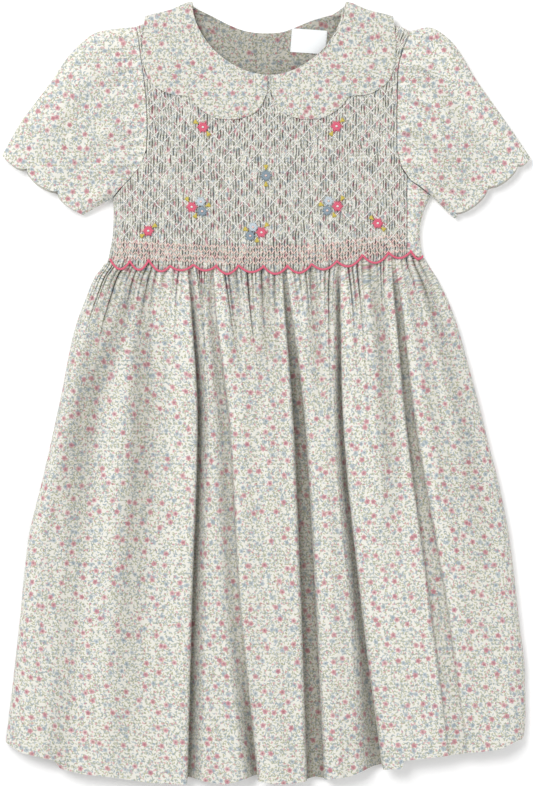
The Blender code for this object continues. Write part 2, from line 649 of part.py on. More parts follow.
def make_bodice_back_right(finish):
    """Right back half: the inner lap of the placket, and the side that wraps to the front."""
    flat = (RIGHT_LAP_END, 0.0, 0.0085, 0.0110, 0.0140, 0.0200, 0.0500, 0.0800)
    stops = [(x, x) for x in flat] + [(CHEST_SIDES[0].right, RIGHT_ARMHOLE[0].x)]
    stops += [(0.1160, RIGHT_ARMHOLE[1].x), (0.1225, RIGHT_ARMHOLE[2].x)]
    stops += [(RIGHT_FOOT - 0.0062, RIGHT_ARMHOLE[3].x)]
    under = [[None if p is None else (*p, back_lift(*p, True)) for p in row]
             for row in back_rows(back_columns(stops))]
    for number, row in enumerate(under):
        wraps = number < len(LOW_ROWS)
        row.extend(wrap_points(LOW_ROWS[number]) if wraps else [None] * len(WRAP_SECTION))
    upper = offset_rows(under, -WALL, facing=panel_facing(under, {}))
    wall = Wall()
    close_panel(wall, wall.grid(under), wall.grid(upper))
    return wall.make("bodice_back_right", finish)


# Section of the wrapped right side: distance in from the edge, share of the bodice's height
WrapPoint = namedtuple("WrapPoint", "inward height")
WRAP_SECTION = (
    WrapPoint(0.0022, 0.05), WrapPoint(0.0006, 0.20), WrapPoint(0.0000, 0.40), WrapPoint(0.0010, 0.66),
    WrapPoint(0.0036, 0.86), WrapPoint(0.0092, 0.98), WrapPoint(0.0177, 1.00), WrapPoint(None, 1.00),
)


def wrap_points(share):
    """Points of the wrapped right side at one share of the way from waist to armhole."""
    points = []
    seam = SIDE_SEAM_RIGHT + SEAM_GAP
    for section in WRAP_SECTION:
        if section.inward is None:
            foot = head = seam
        else:
            foot, head = RIGHT_FOOT - section.inward, RIGHT_ARMHOLE[-1].x - section.inward
        y = lerp(by_x(WAIST_SEAM, foot) + SEAM_GAP, by_x_straight(RIGHT_ARMHOLE, head), share)
        x = foot
        if section.inward is not None:
            edge = by_y(BODY_SIDES, "right", y)
            width = (edge - seam) / (RIGHT_ARMHOLE[-1].x - seam)
            x = edge - section.inward * lerp(1.0, width, ease(section.inward / 0.0080))
        points.append((x, y, section.height * BODICE_HEIGHT))
    return points


def soft_drop(folds, x, y):
    """Depth of all soft folds at a place."""
    total = 0.0
    for fold in folds:
        depth = at_level(fold.depth, y)
        total += depth * trough(x - at_level(fold.x, y), at_level(fold.reach, y))
    return total


def skirt_crest(y):
    """Height of the skirt's folds, from the waist down."""
    below = WAIST_SEAM[3].y - y
    return lerp(BODICE_HEIGHT, SKIRT_HEIGHT, ease(below / 0.065)) - 0.0015 * ease((below - 0.2500) / 0.18)


def skirt_stops():
    """Columns of the skirt front: sides, fold points and gathers, as (kind, data) in order."""
    stops = [("side", "left")]
    for block, gathers in enumerate(GATHERS):
        for i in range(2 * gathers):
            stops.append(("plain", (block, (i + 1) / (2 * gathers + 1), i)))
        if block < len(FOLDS):
            fold = FOLDS[block]
            section = VALLEY_SECTION if fold.kind == "valley" else KNIFE_SECTION
            points = section if fold.kind != "right_over" else tuple(reversed(section))
            flip = -1.0 if fold.kind == "right_over" else 1.0
            stops += [("fold", (fold, SectionPoint(p.across * flip, p.lap * flip, p.drop))) for p in points]
    stops.append(("side", "right"))
    return stops


def block_edges(block, y):
    """Where one block of gathers starts and ends at height y."""
    start = by_y(SKIRT_SIDES, "left", y)
    end = by_y(SKIRT_SIDES, "right", y)
    if block > 0:
        start = at_level(FOLDS[block - 1].x, y) + at_level(FOLDS[block - 1].reach, y)
    if block < len(FOLDS):
        end = at_level(FOLDS[block].x, y) - at_level(FOLDS[block].reach, y)
    return start, end


def stop_place(stop, y):
    """Place across of a column at height y, before any lap."""
    kind, data = stop
    if kind == "side":
        return by_y(SKIRT_SIDES, data, y)
    if kind == "fold":
        fold, point = data
        return at_level(fold.x, y) + at_level(fold.reach, y) * point.across
    block, share, _ = data
    start, end = block_edges(block, y)
    if block == 0:
        share = lerp(share, share * share, 0.45)
    if block == len(GATHERS) - 1:
        share = lerp(share, 1.0 - (1.0 - share) ** 2, 0.45)
    return lerp(start, end, share)


def gather_rise(block, number, below):
    """Height of one gather's crest; gathers differ in length and height."""
    uneven = math.sin(2.4 * number + 1.7 * block)
    length = 0.034 + 0.016 * uneven
    return GATHER_RISE * (1.0 + 0.25 * uneven) * (1.0 - ease(below / length))


def skirt_point(stop, share, ripple):
    """Point of the skirt front's outer face."""
    kind, data = stop
    waist_x = stop_place(stop, WAIST_SEAM[3].y)
    hem_x = stop_place(stop, FOLD_LEVELS[-1])
    waist_y = by_x(WAIST_SEAM, waist_x) - SEAM_GAP
    hem_y = by_x_straight(HEM, hem_x)
    y = lerp(waist_y, hem_y, share)
    place = stop_place(stop, y)
    edge = min(place - by_y(SKIRT_SIDES, "left", y), by_y(SKIRT_SIDES, "right", y) - place)
    reach = lerp(SIDE_ROLL, SKIRT_ROLL, ease(share / 0.25))
    crest = lerp(SIDE_SEAM_HEIGHT, skirt_crest(y), roll(edge, reach))
    near_side = ease(edge / reach)
    height = crest - soft_drop(CREASES, place, y) * near_side
    x = place
    if kind == "fold":
        fold, point = data
        x += at_level(fold.lap, y) * point.lap
        height -= at_level(fold.depth, y) * point.drop
    if kind == "plain" and ripple and data[2] % 2 == 0:
        height += gather_rise(data[0], data[2], waist_y - y) * near_side
    return (x, y, height)


def make_skirt_front(finish):
    """Gathered skirt front with its large folds."""
    stops = skirt_stops()
    kept = [stop for stop in stops if stop[0] != "plain" or stop[1][2] % 2 == 1]
    outer = [[skirt_point(stop, share, True) for stop in stops] for share in SKIRT_ROWS]
    base = [[skirt_point(stop, share, False) for stop in kept] for share in SKIRT_ROWS]
    inner = offset_rows(base, -WALL, facing=side_facing(base))
    wall = Wall()
    outside, inside = wall.grid(outer), wall.grid(inner)
    matched_rim(wall, outside[0], outer[0], inside[0], base[0])
    matched_rim(wall, outside[-1], outer[-1], inside[-1], base[-1])
    wall.rim([row[0] for row in outside], [row[0] for row in inside])
    wall.rim([row[-1] for row in outside], [row[-1] for row in inside])
    return wall.make("skirt_front", finish)


def matched_rim(wall, outer, outer_points, inner, inner_points):
    """Close an edge where the inside keeps only some of the outer points' places."""
    j = 0
    for i in range(len(outer) - 1):
        wall.faces.append((outer[i], outer[i + 1], inner[j]))
        is_kept = j + 1 < len(inner) and math.dist(outer_points[i + 1][:2], inner_points[j + 1][:2]) < 1e-7
        if is_kept:
            wall.faces.append((outer[i + 1], inner[j + 1], inner[j]))
            j += 1


def make_skirt_back(finish):
    """Skirt back, flat where it rests, with shallow folds and turned-up sides."""
    inset = (0.0, 0.0012, 0.0045, 0.0110)
    middle = [i / 24 for i in range(1, 24)]
    rows = []
    for share in (0.0, 0.05, 0.12, 0.22, 0.36, 0.52, 0.68, 0.84, 1.0):
        row = []
        for kind, value in [("left", v) for v in inset] + [("mid", v) for v in middle] \
                + [("right", v) for v in reversed(inset)]:
            row.append(skirt_back_point(kind, value, share))
        rows.append(row)
    upper = offset_rows(rows, WALL, facing=side_facing(rows))
    wall = Wall()
    low, high = wall.grid(rows), wall.grid(upper)
    for pick in (lambda g: g[0], lambda g: g[-1], lambda g: [r[0] for r in g], lambda g: [r[-1] for r in g]):
        wall.rim(pick(low), pick(high))
    return wall.make("skirt_back", finish)


def skirt_back_point(kind, value, share):
    """Point of the skirt back's underside."""
    def place(y):
        left, right = by_y(SKIRT_SIDES, "left", y), by_y(SKIRT_SIDES, "right", y)
        if kind == "left":
            return left + value
        if kind == "right":
            return right - value
        return lerp(left + 0.0110, right - 0.0110, value)

    waist_y = by_x(WAIST_SEAM, place(WAIST_SEAM[3].y)) - SEAM_GAP
    hem_x = place(FOLD_LEVELS[-1])
    hem_y = -0.2925 - 0.0270 * (1.0 - (hem_x / 0.2200) ** 2)
    y = lerp(waist_y, hem_y, share)
    x = place(y)
    edge = min(x - by_y(SKIRT_SIDES, "left", y), by_y(SKIRT_SIDES, "right", y) - x)
    lift = soft_drop(BACK_FOLDS, x, y) * ease(edge / 0.02)
    return (x, y, lerp(SIDE_SEAM_HEIGHT - SEAM_GAP, lift, roll(edge, 0.0050)))


def make_sleeve(name, side, finish):
    """Short puffed sleeve: two layers from the armhole to a scalloped hem, open at both ends."""
    armhole = sleeve_armhole(side)
    if side < 0:
        fold_edge, tip, notches = (armhole[0], *LEFT_SLEEVE_FOLD), LEFT_UNDERARM_TIP, LEFT_NOTCHES
    else:
        fold_edge, tip, notches = (armhole[0], *RIGHT_SLEEVE_FOLD), RIGHT_UNDERARM_TIP, RIGHT_NOTCHES
    corners_at = run_shares(armhole)
    front = snapped(sleeve_shares(2 * SLEEVE_GATHERS + 6), corners_at)
    back = list(reversed(corners_at[1:-1]))
    shares = (0.0, 0.08, 0.22, 0.42, 0.66, 0.88, 1.0)

    def point(t, s, layer, ripple):
        start = along_straight(armhole, t)
        end = sleeve_hem(fold_edge[-1], tip, notches, t, layer)
        fold = along(fold_edge, s)
        under = (lerp(armhole[-1].x, tip.x, s), lerp(armhole[-1].y, tip.y, s))
        corner_hem = sleeve_hem(fold_edge[-1], tip, notches, 0.0, layer)
        corner_tip = sleeve_hem(fold_edge[-1], tip, notches, 1.0, layer)
        place = []
        for axis in (0, 1):
            corners = (1 - s) * ((1 - t) * (armhole[0][axis]) + t * armhole[-1][axis]) \
                + s * ((1 - t) * corner_hem[axis] + t * corner_tip[axis])
            place.append((1 - s) * start[axis] + s * end[axis] + (1 - t) * fold[axis] + t * under[axis] - corners)
        width = math.hypot(fold[0] - under[0], fold[1] - under[1])
        edge = min(t, 1.0 - t) * width
        if layer == "back":
            height = lerp(SLEEVE_EDGE_HEIGHT, 0.0, roll(edge, 0.0060))
            return (place[0], place[1], height)
        crest = lerp(lerp(BODICE_HEIGHT, 0.0150, ease(s / 0.35)), 0.0105, ease((s - 0.45) / 0.55))
        height = lerp(SLEEVE_EDGE_HEIGHT, crest, roll(edge, 0.0140))
        if ripple:
            height += GATHER_RISE * (1.0 - ease(s / 0.38)) * ease(edge / 0.012) * ease((0.86 - t) / 0.2)
        return (place[0], place[1], height)

    outer, base = [], []
    for s in shares:
        outer.append([point(t, s, "front", i % 2 == 1) for i, t in enumerate(front)]
                     + [point(t, s, "back", False) for t in back])
        base.append([point(t, s, "front", False) for t in front] + [point(t, s, "back", False) for t in back])
    inner = offset_rows(base, WALL * side, closed=True)
    wall = Wall()
    outside, inside = wall.grid(outer, closed=True), wall.grid(inner, closed=True)
    for end in (0, -1):
        wall.rim(outside[end] + [outside[end][0]], inside[end] + [inside[end][0]])
    return wall.make(name, finish)


def sleeve_shares(count):
    """Shares across the front layer, closer together at its rolled edges."""
    return [0.5 - 0.5 * math.cos(math.pi * i / count) if i in (0, count) else
            lerp(i / count, 0.5 - 0.5 * math.cos(math.pi * i / count), 0.5) for i in range(count + 1)]


def sleeve_hem(fold_tip, under_tip, notches, t, layer):
    """Point of the scalloped hem between the folded edge's tip and the underarm's tip."""
    stops = [0.0] + list(notches) + [1.0]
    if layer == "back":
        stops = [0.0] + [lerp(a, b, 0.55) for a, b in zip(stops, stops[1:])] + [1.0]
    lobe = max(i for i in range(len(stops) - 1) if stops[i] <= t) if t < 1.0 else len(stops) - 2
    within = (t - stops[lobe]) / (stops[lobe + 1] - stops[lobe])
    size = min(1.0, (stops[lobe + 1] - stops[lobe]) / 0.3)
    bulge = SCALLOP_DEPTH * size * math.sqrt(max(0.0, math.sin(math.pi * within)))
    if layer == "back":
        bulge *= 0.7
    if t <= 0.0 or t >= 1.0:
        bulge = 0.0
    x = lerp(fold_tip.x, under_tip.x, t)
    y = lerp(fold_tip.y, under_tip.y, t)
    length = math.hypot(under_tip.x - fold_tip.x, under_tip.y - fold_tip.y)
    outward = ((under_tip.y - fold_tip.y) / length, -(under_tip.x - fold_tip.x) / length)
    if outward[1] > 0.0:
        outward = (-outward[0], -outward[1])
    return (x + outward[0] * bulge, y + outward[1] * bulge)


def sleeve_armhole(side):
    """Armhole edge of a sleeve, from the shoulder down to the armpit, clear of the bodice."""
    across = 0.0 if side < 0 else 1.0
    chest = [chest_point(across, share, neck_back) for share in reversed(HIGH_ROWS[1:])]
    edge = [Place(x + side * ARMHOLE_GAP, y) for x, y in chest]
    lower = reversed(LEFT_ARMHOLE) if side < 0 else RIGHT_ARMHOLE
    return edge + [Place(p.x + side * ARMHOLE_GAP, p.y + ARMHOLE_GAP) for p in lower]


def run_shares(points):
    """Share of the whole length reached at each of a few places."""
    keys = [0.0]
    for a, b in zip(points, points[1:]):
        keys.append(keys[-1] + math.hypot(b.x - a.x, b.y - a.y))
    return [key / keys[-1] for key in keys]


def along_straight(points, share):
    """Point at a share of the straight runs through a few places."""
    keys = run_shares(points)
    run = max(i for i in range(len(points) - 1) if keys[i] <= share)
    within = (share - keys[run]) / (keys[run + 1] - keys[run])
    return (lerp(points[run].x, points[run + 1].x, within), lerp(points[run].y, points[run + 1].y, within))


def snapped(shares, corners):
    """Shares in which the nearest one moves onto each corner, so that the edge keeps its corners."""
    made = list(shares)
    free = set(range(1, len(made) - 1))
    for corner in corners[1:-1]:
        nearest = min(free, key=lambda i: abs(made[i] - corner))
        made[nearest] = corner
        free.discard(nearest)
    return sorted(made)


def collar_rows(edge_chart, layer):
    """Inner and outer places of the left collar half, from its centre edge to the shoulder fold."""
    rows = []
    count = 16 if layer == "front" else 10
    for i in range(count + 1):
        q = 1.0 - i / count
        share = 1.0 - (0.45 * q + 0.55 * q * q)
        if layer == "front":
            angle = lerp(0.5 * math.pi, 0.0, share)
            across = math.cos(angle) ** (2.0 / FRONT_NECK_ROUND)
            inner = (NECK_CENTRE - (NECK_HALF_WIDTH - 0.0006) * across,
                     NECK_TOP - (FRONT_NECK_DEPTH - 0.0004) * math.sin(angle) ** (2.0 / FRONT_NECK_ROUND))
        else:
            across = share
            x = NECK_CENTRE - 0.0016 - (NECK_HALF_WIDTH - 0.0022) * across
            inner = (x, neck_back(x) + 0.0004)
        shares = [row.share for row in edge_chart]
        outer = (chart_value(shares, [row.x for row in edge_chart], share),
                 chart_value(shares, [row.y for row in edge_chart], share))
        rows.append((inner, outer))
    return rows


def make_collar(name, side, finish):
    """Collar half, rolled over the shoulder: chest part on the bodice, back part under it."""
    widths = (0.0, 0.25, 0.5, 0.78, 1.0)
    front = collar_rows(COLLAR_FRONT_EDGE, "front")
    back = collar_rows(COLLAR_BACK_EDGE, "back")
    high = BODICE_HEIGHT + PLEAT_RISE + SEAM_GAP + COLLAR_WALL
    middle = 0.5 * high
    rows = []
    for inner, outer in front:
        rows.append([collar_point(inner, outer, w, high, middle) for w in widths])
    rows[-1] = [(x, by_x(COLLAR_FOLD, x), middle) for x, _, _ in rows[-1]]
    for inner, outer in reversed(back[:-1]):
        rows.append([collar_point(inner, outer, w, 0.0, middle) for w in widths])
    if side > 0:
        rows = [[(2.0 * COLLAR_CENTRE - x, y, z) for x, y, z in row] for row in rows]
    inside = offset_rows(rows, COLLAR_WALL * side)
    wall = Wall()
    outer_face, inner_face = wall.grid(rows), wall.grid(inside)
    for pick in (lambda g: g[0], lambda g: g[-1], lambda g: [r[0] for r in g], lambda g: [r[-1] for r in g]):
        wall.rim(pick(outer_face), pick(inner_face))
    return wall.make(name, finish)


def collar_point(inner, outer, width, flat, middle):
    """Point of the collar's outer face; near the shoulder it rolls over."""
    x, y = lerp(inner[0], outer[0], width), lerp(inner[1], outer[1], width)
    shoulder = roll(by_x(COLLAR_FOLD, x) - y, COLLAR_FOLD_REACH)
    return (x, y, lerp(middle, flat, shoulder))


def make_label(finish):
    """Bare woven label inside the back neck."""
    wall = Wall()
    corners = []
    for level in (0.0, LABEL_WALL):
        row = []
        for u, v in ((-0.5, -0.5), (0.5, -0.5), (0.5, 0.5), (-0.5, 0.5)):
            x, y = u * LABEL_WIDTH, v * LABEL_DEPTH
            turned = (x * math.cos(LABEL_TURN) - y * math.sin(LABEL_TURN),
                      x * math.sin(LABEL_TURN) + y * math.cos(LABEL_TURN))
            height = COLLAR_LIFT + WALL + SEAM_GAP + level
            row.append((LABEL_CENTRE[0] + turned[0], LABEL_CENTRE[1] + turned[1], height))
        corners.append(row)
    low, high = wall.grid(corners, closed=True)
    wall.faces += [tuple(reversed(low)), tuple(high)]
    return wall.make("neck_label", finish)


def make_button(name, y, finish):
    """Small round button with a dished face and a softened edge, face down under the placket."""
    profile = ((0.0026, 0.0004), (0.0036, 0.0000), (BUTTON_RADIUS - 0.0003, 0.0000),
               (BUTTON_RADIUS, 0.0005), (BUTTON_RADIUS, BUTTON_THICKNESS))
    wall = Wall()
    rings = []
    for radius, height in profile:
        rings.append([(radius * math.cos(2 * math.pi * i / BUTTON_SIDES),
                       y + radius * math.sin(2 * math.pi * i / BUTTON_SIDES), height)
                      for i in range(BUTTON_SIDES)])
    made = wall.grid(rings, closed=True)
    wall.faces += [tuple(made[0]), tuple(reversed(made[-1]))]
    return wall.make(name, finish)


def main():
    """Clear the scene and make every piece."""
    for old in list(bpy.data.objects):
        bpy.data.objects.remove(old, do_unlink=True)
    print_cotton = material("printed_cotton", COTTON_PRINT, 0.9)
    smocked_cotton = material("smocked_cotton", SMOCKED_PRINT, 0.9)
    label_tape = material("label_tape", LABEL_WHITE, 0.7)
    pearl = material("pearl_button", BUTTON_PEARL, 0.35)
    make_bodice_front(smocked_cotton)
    make_bodice_back_left(print_cotton)
    make_bodice_back_right(print_cotton)
    make_skirt_front(print_cotton)
    make_skirt_back(print_cotton)
    make_sleeve("sleeve_left", -1, print_cotton)
    make_sleeve("sleeve_right", 1, print_cotton)
    make_collar("collar_left", -1, print_cotton)
    make_collar("collar_right", 1, print_cotton)
    make_label(label_tape)
    for number, height in enumerate(BUTTON_HEIGHTS, start=1):
        make_button(f"back_button_{number}", height, pearl)


main()
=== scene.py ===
"""Looks of the smocked dress: fine cloth, printed cotton, smocking stitches and embroidery.

Frame: metres, +Z up out of the dress's front, neck towards +Y, hem towards -Y.
"""
import json
import logging
import math
from dataclasses import dataclass, field
from enum import Enum
from functools import cached_property
from typing import Callable, NamedTuple, Sequence

import bmesh
import bpy
import numpy as np
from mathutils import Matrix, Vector

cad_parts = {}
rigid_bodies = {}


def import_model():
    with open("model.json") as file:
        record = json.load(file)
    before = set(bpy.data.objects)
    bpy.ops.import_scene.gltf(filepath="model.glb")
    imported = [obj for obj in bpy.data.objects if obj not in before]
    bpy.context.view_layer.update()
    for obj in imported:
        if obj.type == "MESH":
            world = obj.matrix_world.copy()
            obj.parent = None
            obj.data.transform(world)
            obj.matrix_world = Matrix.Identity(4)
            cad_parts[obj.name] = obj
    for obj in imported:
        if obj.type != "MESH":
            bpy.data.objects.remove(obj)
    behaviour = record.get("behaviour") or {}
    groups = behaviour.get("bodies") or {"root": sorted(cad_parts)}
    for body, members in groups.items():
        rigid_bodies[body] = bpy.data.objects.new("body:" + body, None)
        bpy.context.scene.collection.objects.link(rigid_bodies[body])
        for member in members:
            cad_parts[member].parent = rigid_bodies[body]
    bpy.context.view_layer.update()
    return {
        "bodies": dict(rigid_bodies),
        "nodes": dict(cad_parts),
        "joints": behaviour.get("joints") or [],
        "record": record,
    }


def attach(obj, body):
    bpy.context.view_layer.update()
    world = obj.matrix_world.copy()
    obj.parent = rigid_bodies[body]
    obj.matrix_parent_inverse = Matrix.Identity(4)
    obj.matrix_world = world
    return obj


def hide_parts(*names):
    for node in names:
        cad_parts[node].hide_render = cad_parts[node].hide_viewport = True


LOG = logging.getLogger("smocked_dress")
Array = np.ndarray
Colour = tuple[float, float, float]


class Side(NamedTuple):
    """Left and right edge of a piece at one height."""

    y: float
    left: float
    right: float


class Place(NamedTuple):
    """A place on the laid-out dress."""

    x: float
    y: float


class Fold(NamedTuple):
    """A fold of the skirt, with its values at five levels from waist to hem."""

    name: str
    kind: str
    x: tuple[float, ...]
    depth: tuple[float, ...]
    reach: tuple[float, ...]
    lap: tuple[float, ...]


class SectionPoint(NamedTuple):
    """A point of a fold's section: across its reach, share of its lap, share of its depth."""

    across: float
    lap: float
    drop: float


class CollarRow(NamedTuple):
    """Outer edge of the left collar half at a share of its length."""

    share: float
    x: float
    y: float


class Curve:
    """Smooth run through a chart's values that never overshoots them."""

    def __init__(self, keys: Sequence[float], values: Sequence[float]) -> None:
        """Sort the chart and work out its slopes.

        Args:
            keys: Places of the chart's rows.
            values: Value at each row.
        """
        order = np.argsort(np.asarray(keys, dtype=float))
        self.keys = np.asarray(keys, dtype=float)[order]
        self.values = np.asarray(values, dtype=float)[order]
        steps = np.diff(self.keys)
        slopes = np.diff(self.values) / steps
        inner = [0.0 if a * b <= 0.0 else 2.0 * a * b / (a + b) for a, b in zip(slopes, slopes[1:])]
        self.slopes = np.array([slopes[0], *inner, slopes[-1]])
        self.steps = steps

    def at(self, where: Array | float) -> Array:
        """Values at the given places.

        Args:
            where: Places along the chart.

        Returns:
            The chart's values there, held level beyond its ends.
        """
        x = np.clip(where, self.keys[0], self.keys[-1])
        row = np.clip(np.searchsorted(self.keys, x, side="right") - 1, 0, len(self.steps) - 1)
        t = (x - self.keys[row]) / self.steps[row]
        rise = self.values[row + 1] - self.values[row]
        start, end = self.slopes[row] * self.steps[row], self.slopes[row + 1] * self.steps[row]
        return self.values[row] + rise * t * t * (3 - 2 * t) + start * t * (1 - t) ** 2 - end * t * t * (1 - t)


def lerp(a: Array | float, b: Array | float, share: Array | float) -> Array | float:
    """Point or number part of the way from a to b."""
    return a + (b - a) * share


def ease(share: Array | float) -> Array:
    """Soft step from 0 to 1."""
    share = np.clip(share, 0.0, 1.0)
    return share * share * (3.0 - 2.0 * share)


def roll(distance: Array | float, reach: Array | float) -> Array:
    """Height share of a rounded edge: 0 at the edge, 1 from its reach inwards."""
    inward = np.clip(distance / reach, 0.0, 1.0)
    return np.sqrt(np.maximum(0.0, 1.0 - (1.0 - inward) ** 2))


def uneven(seed: int, rows: int, columns: int, row_step: float, column_step: float) -> Array:
    """Smooth random field between -1 and 1, the same each run.

    Args:
        seed: Fixed seed.
        rows: Rows of the result.
        columns: Columns of the result.
        row_step: Rows between two random values.
        column_step: Columns between two random values.

    Returns:
        An array of rows by columns.
    """
    rng = np.random.RandomState(seed)
    coarse = rng.uniform(-1.0, 1.0, (int(rows / row_step) + 3, int(columns / column_step) + 3))
    r, c = np.arange(rows) / row_step, np.arange(columns) / column_step
    i, j = r.astype(int), c.astype(int)
    u, v = ease(r - i)[:, None], ease(c - j)[None, :]
    low = lerp(coarse[np.ix_(i, j)], coarse[np.ix_(i, j + 1)], v)
    high = lerp(coarse[np.ix_(i + 1, j)], coarse[np.ix_(i + 1, j + 1)], v)
    return lerp(low, high, u)


class Cusp(NamedTuple):
    """A point of the scalloped cord, and the lowest height of the scallop after it."""

    x: float
    y: float
    bottom: float


@dataclass(frozen=True)
class BodyForm:
    """Outline and heights of the laid-out body, which every piece follows."""

    wall: float = 0.0012
    seam_gap: float = 0.0003
    armhole_gap: float = 0.0005
    bodice_height: float = 0.0110
    pleat_rise: float = 0.0013
    side_seam_height: float = 0.0040
    side_roll: float = 0.0120
    shoulder_height: float = 0.0068
    shoulder_roll: float = 0.0080
    neck_centre: float = 0.0010
    neck_half_width: float = 0.0640
    neck_top: float = 0.3280
    front_neck_depth: float = 0.0602
    front_neck_round: float = 1.8
    back_neck_depth: float = 0.0240
    right_seam: float = 0.1188
    left_foot: float = -0.1352
    body_sides: tuple[Side, ...] = (
        Side(0.1040, -0.1385, 0.1370), Side(0.1130, -0.1335, 0.1335), Side(0.1284, -0.1307, 0.1303),
        Side(0.1385, -0.1295, 0.1298), Side(0.1486, -0.1291, 0.1320), Side(0.1570, -0.1293, 0.1345),
        Side(0.1661, -0.1297, 0.1392), Side(0.1800, -0.1300, 0.1392),
    )
    chest_sides: tuple[Side, ...] = (
        Side(0.1000, -0.1030, 0.1112), Side(0.2042, -0.1013, 0.1102), Side(0.2210, -0.1004, 0.1101),
        Side(0.2463, -0.1013, 0.1104), Side(0.2724, -0.1042, 0.1112), Side(0.2884, -0.1066, 0.1148),
        Side(0.3010, -0.1082, 0.1200), Side(0.3200, -0.1110, 0.1245),
    )
    waist_seam: tuple[Place, ...] = (
        Place(-0.1385, 0.1095), Place(-0.0980, 0.1078), Place(-0.0560, 0.1057), Place(-0.0140, 0.1044),
        Place(0.0280, 0.1048), Place(0.0600, 0.1078), Place(0.0810, 0.1110), Place(0.1030, 0.1135),
        Place(0.1220, 0.1150), Place(0.1370, 0.1140),
    )
    left_armhole: tuple[Place, ...] = (
        Place(-0.1297, 0.1640), Place(-0.1248, 0.1700), Place(-0.1147, 0.1806), Place(-0.1055, 0.1916),
        Place(-0.1013, 0.2042),
    )
    right_armhole: tuple[Place, ...] = (
        Place(0.1102, 0.2042), Place(0.1139, 0.1903), Place(0.1215, 0.1790), Place(0.1300, 0.1735),
        Place(0.1392, 0.1661),
    )
    shoulders: tuple[Place, ...] = (
        Place(-0.1160, 0.3070), Place(-0.1004, 0.3132), Place(-0.0810, 0.3195), Place(-0.0630, 0.3265),
        Place(0.0650, 0.3265), Place(0.0789, 0.3222), Place(0.0958, 0.3160), Place(0.1126, 0.3098),
        Place(0.1260, 0.3035),
    )
    collar_fold: tuple[Place, ...] = (
        Place(-0.1180, 0.3125), Place(-0.1004, 0.3190), Place(-0.0810, 0.3240), Place(-0.0630, 0.3305),
        Place(0.0650, 0.3303), Place(0.0789, 0.3278), Place(0.0958, 0.3212), Place(0.1180, 0.3135),
    )

    cusps: tuple[Cusp, ...] = (
        Cusp(-0.1315, 0.1121, 0.1042), Cusp(-0.1151, 0.1111, 0.1036), Cusp(-0.0992, 0.1121, 0.1026),
        Cusp(-0.0813, 0.1071, 0.1032), Cusp(-0.0614, 0.1081, 0.1030), Cusp(-0.0422, 0.1071, 0.1002),
        Cusp(-0.0233, 0.1075, 0.1017), Cusp(-0.0022, 0.1067, 0.1002), Cusp(0.0180, 0.1071, 0.1011),
        Cusp(0.0384, 0.1087, 0.1040), Cusp(0.0597, 0.1111, 0.1067), Cusp(0.0815, 0.1160, 0.1095),
        Cusp(0.1034, 0.1180, 0.1135), Cusp(0.1223, 0.1195, 0.1131), Cusp(0.1322, 0.1151, 0.1131),
    )

    @cached_property
    def scallops(self) -> Array:
        """Points along the scalloped waist line, closely spaced."""
        points = [(self.waist_seam[0].x, self.waist_seam[0].y)]
        for a, b in zip(self.cusps, self.cusps[1:]):
            for t in np.linspace(0.0, 1.0, 60, endpoint=False):
                sag = (0.5 * (a.y + b.y) - a.bottom) * math.sin(math.pi * t) ** 0.85
                points.append((lerp(a.x, b.x, t), lerp(a.y, b.y, t) - sag))
        points.append((self.cusps[-1].x, self.cusps[-1].y))
        points.append((self.waist_seam[-1].x, self.waist_seam[-1].y))
        return np.array(points)

    def waist(self, x: Array | float) -> Array:
        """Height of the scalloped waist line at x."""
        route = self.scallops
        return np.interp(x, route[:, 0], route[:, 1])

    def side(self, chart: tuple[Side, ...], column: str, y: Array | float) -> Array:
        """Edge of a chart of sides at height y."""
        return Curve([row.y for row in chart], [getattr(row, column) for row in chart]).at(y)

    def height(self, chart: tuple[Place, ...], x: Array | float) -> Array:
        """Height of a chart of places at x, along a smooth run."""
        return Curve([row.x for row in chart], [row.y for row in chart]).at(x)

    def neck_front(self, x: Array) -> Array:
        """Height of the front neckline at x."""
        across = np.clip(np.abs(x - self.neck_centre) / self.neck_half_width, 0.0, 1.0)
        power = self.front_neck_round
        return self.neck_top - self.front_neck_depth * (1.0 - across ** power) ** (1.0 / power)

    def neck_back(self, x: Array) -> Array:
        """Height of the back neckline at x."""
        across = np.clip(np.abs(x - self.neck_centre) / self.neck_half_width, 0.0, 1.0)
        return self.neck_top - self.back_neck_depth * (1.0 - across * across)

    def front_top(self, x: Array) -> Array:
        """Upper edge of the front: shoulders, and the neckline between them."""
        shoulder = self.height(self.shoulders, x)
        inside = np.abs(x - self.neck_centre) < self.neck_half_width
        return np.where(inside, np.minimum(shoulder, self.neck_front(x)), shoulder)

    def armhole_top(self, x: Array) -> Array:
        """Upper end of the bodice's lower half: armholes outside, a level line on the chest."""
        left = np.interp(x, [p.x for p in self.left_armhole], [p.y for p in self.left_armhole])
        right = np.interp(x, [p.x for p in self.right_armhole], [p.y for p in self.right_armhole])
        level = self.left_armhole[-1].y
        return np.where(x < self.left_armhole[-1].x, left, np.where(x > self.right_armhole[0].x, right, level))

    def chest_place(self, across: Array, share: Array) -> tuple[Array, Array]:
        """Place on the chest above the armholes' widest level, at shares across and up."""
        top = np.full_like(across, self.neck_top)
        for _ in range(6):
            left, right = self.side(self.chest_sides, "left", top), self.side(self.chest_sides, "right", top)
            top = self.front_top(lerp(left, right, across))
        y = lerp(self.left_armhole[-1].y, top, share)
        left, right = self.side(self.chest_sides, "left", y), self.side(self.chest_sides, "right", y)
        return lerp(left, right, across), y

    def front_level(self, x: Array, y: Array) -> Array:
        """Outer face of the front between its pleats."""
        side = roll(x - self.side(self.body_sides, "left", y), self.side_roll)
        low = lerp(self.side_seam_height, self.bodice_height, side)
        shoulder = roll(self.height(self.shoulders, x) - y, self.shoulder_roll)
        return lerp(np.minimum(self.shoulder_height, low), low, shoulder)


